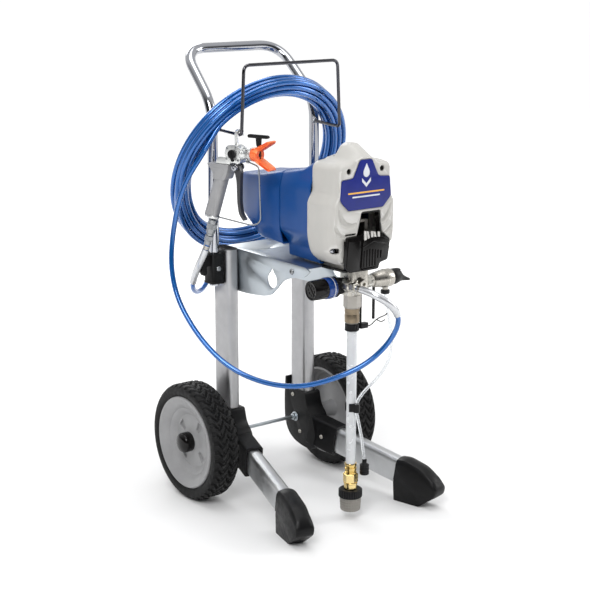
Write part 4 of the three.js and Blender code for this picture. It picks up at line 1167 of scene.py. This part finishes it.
def clip_wire():
    """The spring clip beside the pump and the rod that it snaps over."""
    wire = spline([(30, -307, 412), (38, -309, 411), (46, -309, 414), (56, -308, 421), (70, -306, 424),
                   (82, -305, 425), (90, -304, 428)], 2)
    hook = spline([(58, -308.6, 421), (66, -309.6, 416), (72, -310, 415), (79, -309.6, 418)], 2)
    build("wire_clip", [tube(wire, 1.2, 10), tube(hook, 1.1, 10)], "black_gloss", of="jam_nut")
    rods = [bar("z", 421.5, 492, 3.1, (56, PUMP_Y), ease_off=1, sides=20),
            bar("z", 418, 482, 2.1, (17.5, PUMP_Y - 6), sides=16)]
    build("clip_rods", rods, "black_gloss", of="jam_nut")
    trace = spline([(16, -318, 484), (30, -321, 479), (42, -322, 476.5), (52, -321, 477.5)], 2)
    build("packing_wire", [tube(trace, 1.2, 10)], "black_gloss", of="jam_nut")


def suction_shapes():
    wall = lathe([(10.4, 112.2), (10.4, 407.2), (8.2, 407.2), (8.2, 112.2)], "z", PUMP, 40, True)
    stand_in("suction_tube", [wall], "tube")
    brass = [lathe([(10.8, 121.6), (11.8, 122), (12.4, 121), (12.4, 116.4), (11.2, 115.6), (11.2, 112.6),
                    (12.4, 111.8), (12.4, 107.4), (11.2, 106.6), (11.2, 103.6), (12.4, 102.8), (12.4, 98),
                    (10.8, 98)], "z", PUMP, 40),
             hex_bar("z", 80.2, 99.2, 15.7, PUMP, 0.3), bar("z", 66.4, 81, 13.9, PUMP),
             bar("z", 76, 80.6, 14.6, PUMP, ease_off=1)]
    stand_in("inlet_fitting", brass, "brass", cuts=[bore(6.4, 60, 130, centre=PUMP, sides=24),
                                                    bore(10.5, 111.8, 130, centre=PUMP)])
    collar = [knurled("z", 50, 64, 24.8, PUMP, 30, 1.0), bar("z", 48.4, 51, 24.4, PUMP, ease_off=0.6),
              bar("z", 62.6, 65.6, 23.6, PUMP, ease_off=1.2)]
    stand_in("inlet_strainer", collar, "black", cuts=[bore(14.2, 40, 70, centre=PUMP)])

    def cup_ring(height, share=1.0, at_height=None):
        """A fluted ring of the strainer's cup, drawn in toward its centre by share."""
        ring = []
        for i, angle in enumerate(around(48)):
            r = (21.9 + (0.5 if i % 2 else -0.5) - (48 - height) * 0.055) * share
            ring.append((r * math.cos(angle), PUMP_Y + r * math.sin(angle), at_height or height))
        return ring

    low, middle, high = 20.6, 34, 48.6
    build("strainer_cup", [loft([cup_ring(low, 0.2, 19.4), cup_ring(low, 0.9, 19.2), cup_ring(low),
                                 cup_ring(middle), cup_ring(high), cup_ring(high, 0.9),
                                 cup_ring(middle, 0.9), cup_ring(low, 0.2, 22.4)])], "strainer",
          of="inlet_strainer")
    hoops = []
    for height in (24, 30, 36, 42):
        r = 22.3 - (48 - height) * 0.06
        hoops.append(lathe([(r, height - 0.6), (r + 0.6, height), (r, height + 0.6)], "z", PUMP))
    build("strainer_hoops", hoops, "strainer", of="inlet_strainer")


def control_shapes():
    centre = (-290, VALVE_Z - 3)
    stand_in("pressure_control", [threads("x", -36, -25, 16.8, centre, 2.2, 1.2),
                                  bar("x", -27, -22.4, 16.8, centre, ease_off=1),
                                  bar("x", -46, -30, 6, centre)], "black")
    skirt = [(0.01, -97.2), (14.4, -97.2), (15, -98.2), (17.6, -99), (19.4, -98), (20, -96), (20.8, -68),
             (20.4, -66), (19, -65.4), (19, -52.6), (0.01, -52.6)]
    body = lathe(skirt, "x", centre, 64)
    turned = [(centre[0] + a * 0.64 - b * 0.77, centre[1] + a * 0.77 + b * 0.64)
              for a, b in ((-13, 2.2), (13, 2.2), (13, -2.2), (-13, -2.2))]     # a bar across the face
    studs = [prism(rounded_box(4.4, 4.4, 2, (centre[0] + 9.4 * math.cos(a), centre[1] + 9.4 * math.sin(a))),
                   -98.4, -97, "x") for a in (-0.7, 0.1, 2.44, 3.24, 1.65, 4.8)]
    stand_in("pressure_knob", [body, prism(turned, -98.8, -97, "x")] + studs, "black_gloss")
    band = lathe([(18.6, -65.6), (21.2, -65.2), (22, -63.6), (22.2, -56), (22.2, -46.4), (21.4, -44.8),
                  (18.6, -44.4)], "x", centre, 64, True)
    build("knob_band", [band], "teal", of="pressure_knob", slot="knob_blue")
    line = lathe([(21.4, -52.6), (22.5, -52.4), (22.5, -50.8), (21.4, -50.6)], "x", centre, 64, True)
    build("knob_line", [line], "pale_print", of="pressure_knob")
    build("knob_collar", [knurled("x", -44.8, -37.6, 21.4, centre, 34, 1.0)], "black", of="pressure_knob",
          cuts=[bore(17.4, -60, -30, "x", centre, 40)])


def prime_shapes():
    centre = (PUMP_Y, VALVE_Z)
    barrel = [hex_bar("x", 30.5, 46, 13.6, centre, 0.2), bar("x", 44, 52, 12, centre),
              lathe([(9, 50), (13.4, 51), (15, 54), (18.4, 76), (18.9, 79), (18.9, 96.6), (18.2, 98.4),
                     (17.2, 99.6), (9, 99.6)], "x", centre, 48),
              lathe([(17.6, 82), (19.3, 82.6), (19.3, 84.6), (17.6, 85.2)], "x", centre, 48),
              lathe([(0.01, 489), (7.6, 489), (6.4, 484), (5.6, 479), (5.6, 477.4), (0.01, 477.4)], "z",
                    (87, PUMP_Y), 28)]
    stand_in("prime_valve", barrel, "nickel")
    barb = lathe([(0.01, 478.6), (8.6, 478.4), (9.6, 477.4), (9.6, 471.6), (8.6, 470.4), (0.01, 470.2)],
                 "z", (87, PUMP_Y), 28)
    build("drain_collar", [barb], "black", of="prime_valve", slot="black_plastic")
    sections = ((100.5, 16.4, 16.4, 0), (102, 17, 17, 0), (112, 15.6, 16.6, 0.6), (120, 12.6, 15.4, 1.6),
                (126, 10, 11.6, -0.6), (131, 8, 7.8, -4), (138, 6.4, 5.4, -7), (146, 4.8, 3.7, -9.6),
                (151.6, 3.4, 2.8, -11), (153.6, 1.6, 1.4, -11.6))
    wing = loft([[(x, PUMP_Y + deep * math.cos(t), VALVE_Z + shift + tall * math.sin(t))
                  for t in around(40)] for x, deep, tall, shift in sections])
    pointer = slab([(104, 515), (122, 519.5), (125, 516), (118, 511), (104, 511)], 1.5,
                   PUMP_Y - 4.6, PUMP_Y + 4.6, steps=3)
    stand_in("prime_lever", [wing, pointer], "black", smooth=42)


manifold_shape()
outlet_shape()
cylinder_shape()
jam_nut_shape()
clip_wire()
suction_shapes()
control_shapes()
prime_shapes()

DRAIN_R = 3.2
DRAIN_ROUTE = [
    (87, -300, 469.5), (88, -300, 450), (97, -302, 415), (102, -306, 380), (99, -310, 350),
    (84, -314, 322), (56, -318, 300), (26, -319, 283), (8, -317, 268), (0, -315, 250),
    (2, -315, 232), (9, -314, 210), (15, -316, 180), (19, -317, 150), (21, -318, 131),
]
stand_in("drain_tube", [tube(spline(DRAIN_ROUTE, 5), DRAIN_R, 20)], "clear", smooth=60)
diffuser = lathe([(0.01, 130), (4.2, 130), (4.8, 129), (4.8, 122), (7.4, 119.6), (9.8, 118.4), (9.8, 114),
                  (9, 113.4), (9, 111.6), (9.8, 111), (9.8, 106.4), (9, 105.8), (9, 104), (9.8, 103.4),
                  (9.8, 98.4), (9, 97.2), (0.01, 97.2)], "z", (22, -318), 36)
stand_in("drain_diffuser", [diffuser], "black")
clip_parts = [bar("z", 235.2, 252.8, 12.6, PUMP), bar("z", 235.2, 252.8, 7, (1, -315.5), sides=28),
              prism(rounded_box(12, 12, 2, (0, -310)), 237, 251, "z")]
stand_in("tube_clip", clip_parts, "black", bevel=0.5,
         cuts=[bore(10.3, 230, 260, centre=PUMP), bore(4.0, 230, 260, centre=(1, -315.5), sides=24),
               block(-20, -7, -306, -294, 230, 260)])

# ---------------------------------------------------------------- spray gun (gun frame: x forward, z up)
GUN = {"place": gun_at}
SHORT_FROM, SHORT_BY = -24, 0.905          # below the barrel the gun's height is drawn in
GUN_SHORT = {"place": lambda p: gun_at((p[0], p[1], SHORT_FROM + SHORT_BY * (p[2] - SHORT_FROM)
                                        if p[2] <= SHORT_FROM else p[2]))}
BORE = (0, 0)                              # the barrel's own centre line
TRIGGER_PIVOT = (-7, -29)
TIP_X = 46


def gun_body_shape():
    body = slab([(-30, -20), (6, -20), (8, 10), (-4, 17), (-26, 15), (-32, 4)], [5, 3, 4, 6, 6, 5],
                -10.8, 10.8, steps=5)
    neck = slab([(-56, -23.4), (-18, -23.4), (-18, -8), (-50, -10)], [4, 1, 1, 5], -11.8, 11.8)
    barrel = lathe([(0.01, 4), (12.6, 4), (13.8, 6), (13.8, 9), (12.4, 10), (12.4, 13), (11.6, 14.2),
                    (11.6, 19), (0.01, 19)], "x", BORE, 40)
    nut = hex_bar("x", 18.4, 31.6, 13.9, BORE, 0.3)
    collar = bar("x", 26.4, 29.4, 13.9, BORE)
    hook = slab([(4, 14), (4, 41), (10, 46), (23, 46), (28, 41), (28, 32), (23.5, 32), (23.5, 38.5),
                 (21.5, 40.5), (11, 40.5), (9, 38.5), (9, 14)],
                [0.5, 3, 4, 4, 3, 1.5, 1.5, 1.5, 2, 2, 1.5, 0.5], -18, -11, "x")
    cap = lathe([(0.01, -37.5), (4.6, -37), (6.2, -35), (6.4, -30), (7.6, -29.6), (7.6, -26), (0.01, -26)],
                "x", (0, -3), 28)
    stand_in("gun_body", [body, neck, barrel, nut, collar, hook, cap], "gun", bevel=1.3, **GUN)
    eye = [Vector((20 + 4.2 * math.cos(t), -13.2, 8 + 4.2 * math.sin(t))) for t in around(24)]
    build("nozzle_nut_eye", [sweep(eye + eye[:1], hexagon(1.0, sides=10))], "steel", of="gun_body", **GUN)
    heads = [screw(2.6, 1.4, (x, z, side * 10.8), "y", side) for side in (-1, 1)
             for x, z in ((-26, 9), (-4, 11), (2, -14), (-27, -13))]
    build("gun_body_screws", heads, "steel", of="gun_body", **GUN)
    pivots = [screw(7, 3.4, (*TRIGGER_PIVOT, side * 11.4), "y", side, 0.5) for side in (-1, 1)]
    build("trigger_pivot_screws", pivots, "chrome", of="gun_body", **GUN)


def gun_grip_shape():
    """The light grip: a stepped block on top, a rounded fluted handle and its end collar."""
    block_top = slab([(-76.6, -24.4), (-21, -24.4), (-24, -42), (-31, -60), (-61.6, -60), (-61.6, -44)],
                     [3, 2, 4, 4, 3, 4], -13.8, 13.8)
    rings = []
    for t in (0, 0.04, 0.2, 0.5, 0.8, 0.96, 1.0):
        front = Vector((-34.5 - 26.5 * t, 0, -58 - 91 * t))
        back = Vector((-61.8 - 29 * t, 0, -58 - 85.4 * t))
        middle, half = (front + back) / 2, (front - back) / 2
        wide = 13 - 1.6 * t
        pinch = 0.93 if t in (0, 1.0) else 1.0
        ring = []
        for a in around(48):
            c, s = math.cos(a), math.sin(a)
            flute = 0.35 * math.cos(12 * a) if 0.1 < t < 0.9 else 0
            reach = (abs(c) ** 3.2 + abs(s) ** 3.2) ** (-1 / 3.2)
            across = Vector((0, s * (reach * wide + flute) * pinch, 0))
            ring.append(tuple(middle + half * (c * reach * pinch) + across))
        rings.append(ring)
    stand_in("gun_grip", [block_top, loft(rings)], "grip", bevel=1.6, **GUN_SHORT)
    pad = slab([(-60, -34), (-34, -34), (-37, -52), (-56, -52)], 3, -14.8, 14.8, steps=3)
    build("grip_side_pads", [pad], "grip", of="gun_grip", bevel=0.7, **GUN)
    ring_turn = Matrix.Rotation(math.radians(12), 3, "Y")
    collar = lathe([(12, -2.6), (14.8, -2.4), (15.6, -0.6), (15.6, 1.2), (14.8, 2.6), (12, 2.8)],
                   "z", (0, 0), 40)
    build("grip_end_ring", [collar], "gun", of="gun_grip", place=lambda p: gun_at(
        ring_turn @ Vector((p[0] * 1.1, p[1] * 0.86, p[2])) + Vector((-75, 0, -136))))


def trigger_shapes():
    blade = slab([(-12, -24), (-2, -24), (4, -38), (2, -60), (1, -110), (5, -134), (14, -147), (9, -150),
                  (-2, -136), (-6, -110), (-7, -60), (-13, -36)],
                 [3, 3, 8, 20, 30, 10, 1.5, 2, 10, 30, 20, 8], -5.2, 5.2)
    ears = [bar("y", low, low + 2.8, 8.2, TRIGGER_PIVOT) for low in (-10.6, 7.8)]
    stand_in("gun_trigger", [blade, bar("y", -10.8, 10.8, 6, TRIGGER_PIVOT)] + ears, "trigger", bevel=1.6,
             **GUN_SHORT)
    lock_at = (-12, -2)
    arm = slab([(-14, -4), (-8, -4), (-5, -15), (-8, -17), (-11, -16)], [2, 2, 2, 1.5, 2], -18, -14)
    disc = knurled("y", -16.6, -11.6, 9, lock_at, 20, 0.6)
    dome = bar("y", -17, -15, 7.4, lock_at, ease_off=0.7)
    ridge = prism(rounded_box(3, 13, 1.4, lock_at), -18.6, -16)
    stand_in("trigger_lock", [disc, dome, arm, ridge], "black", bevel=0.5, **GUN)
    path = bent([(20, 0, -16.6), (46, 0, -24), (50, 0, -137), (30, 0, -146), (-60, 0, -137)],
                [8, 12, 12], 10)
    stand_in("trigger_guard", [tube(resample(path, 4), 1.5, 14)], "steel", smooth=60, **GUN)
    build("guard_clip", [bar("x", 15, 22, 3, (0, -16.4))], "steel", of="trigger_guard", **GUN)


def tip_shapes():
    wing = [(40, 9), (50, 7), (79, 24), (81, 29.5), (75.5, 30), (46, 15)]
    groove = [(55, 14.6), (59, 14.6), (75.6, 25), (74.6, 27.6), (71.6, 27.2), (54, 17.4)]
    mouth = [(56, 4), (86, 22), (86, 26), (60, 11.4)]
    shells = [lathe([(10, 32.5), (13.6, 32.5), (14.4, 34), (14.4, 47.6), (13.2, 49.8), (8, 49.8)],
                    "x", BORE, 40)]
    cuts = [bore(4.5, -9, 40, centre=(TIP_X, 0), sides=24), bore(5.5, 47, 55, "x", BORE, 24)]
    for up in (1, -1):
        outline, cheek, opening = [[(x, up * z) for x, z in shape] for shape in (wing, groove, mouth)]
        shells.append(slab(outline, [1, 4, 3, 2, 2, 4], -10.8, 10.8))
        cuts += [slab(cheek, 1.2, low, high, steps=3) for low, high in ((-11.4, -9), (9, 11.4))]
        cuts.append(slab(opening, 1, -6.4, 6.4, steps=2))
    stand_in("tip_guard", shells, "orange", cuts=cuts, bevel=1.1, segments=2, **GUN)
    notches = [prism(rounded_box(2.2, 8, 1, (38 + 4 * i, 0)), -14.7, -14.1) for i in range(3)]
    build("tip_guard_lines", notches, "orange", of="tip_guard", **GUN)
    stem = bar("z", -6.8, 30, 4, (TIP_X, 0), ease_off=0.6)
    wedge = slab([(41.6, 18), (50.4, 18), (52, 35), (40, 35)], [1, 1, 1, 1], -3, 3, steps=2)
    handle = slab([(22, 33), (69, 33.6), (72, 36.6), (69, 40.2), (22, 40.2), (19.6, 36.6)],
                  [2, 2, 1, 2, 2, 1], -3.4, 3.4, steps=3)
    stand_in("spray_tip", [stem, wedge, handle], "black", bevel=0.6, **GUN)


def swivel_shape():
    centre = (0, 0)
    shells = [knurled("z", -14, -3, 10.9, centre, 26, 0.7), bar("z", -24, -13, 9.6, centre),
              bar("z", -4, 6, 9.4, centre), bar("z", 1, 4, 10.4, centre, ease_off=0.6),
              lathe([(7.2, -26), (8.6, -25), (8.6, -23), (7.2, -22)], "z", centre, 32),
              hex_bar("z", -42, -30, 9.9, centre), bar("z", -51.8, -24, 7.2, centre)]
    stand_in("gun_swivel", shells, "steel", place=swivel_at)
    grip = stretch_of(resample(hose_reversed[:6], 2.5), 0.4, 12)
    build("swivel_ferrule", [tube(grip, 6.9, 28)], "nickel", of="gun_swivel")


gun_body_shape()
gun_grip_shape()
trigger_shapes()
tip_shapes()
swivel_shape()


# ---------------------------------------------------------------- floor
FLOOR_REACH = 30


def make_floor():
    mesh = bpy.data.meshes.new("studio_floor")
    corners = [(a * FLOOR_REACH, b * FLOOR_REACH, 0) for a, b in ((-1, -1), (1, -1), (1, 1), (-1, 1))]
    mesh.from_pydata(corners, [], [(0, 1, 2, 3)])
    paint = Shader("pale_floor", Roughness=0.8, Emission_Color=(1, 1, 1, 1), Specular_IOR_Level=0.1)
    patches = paint.spread(paint.noise(2, 2), 0, 1)
    paint.to("Base Color", paint.colours(patches, (0.8, 0.8, 0.8), (0.82, 0.82, 0.82)))
    away = paint.node("VectorMath", ("operation", "LENGTH"), Vector=paint.place)
    lit = paint.spread(away.outputs["Value"], 0, 0.5, 0.5, 2.6)         # brighter far off
    paint.to("Emission Strength", lit)
    mesh.materials.append(paint.material)
    link("studio_floor", mesh)


make_floor()
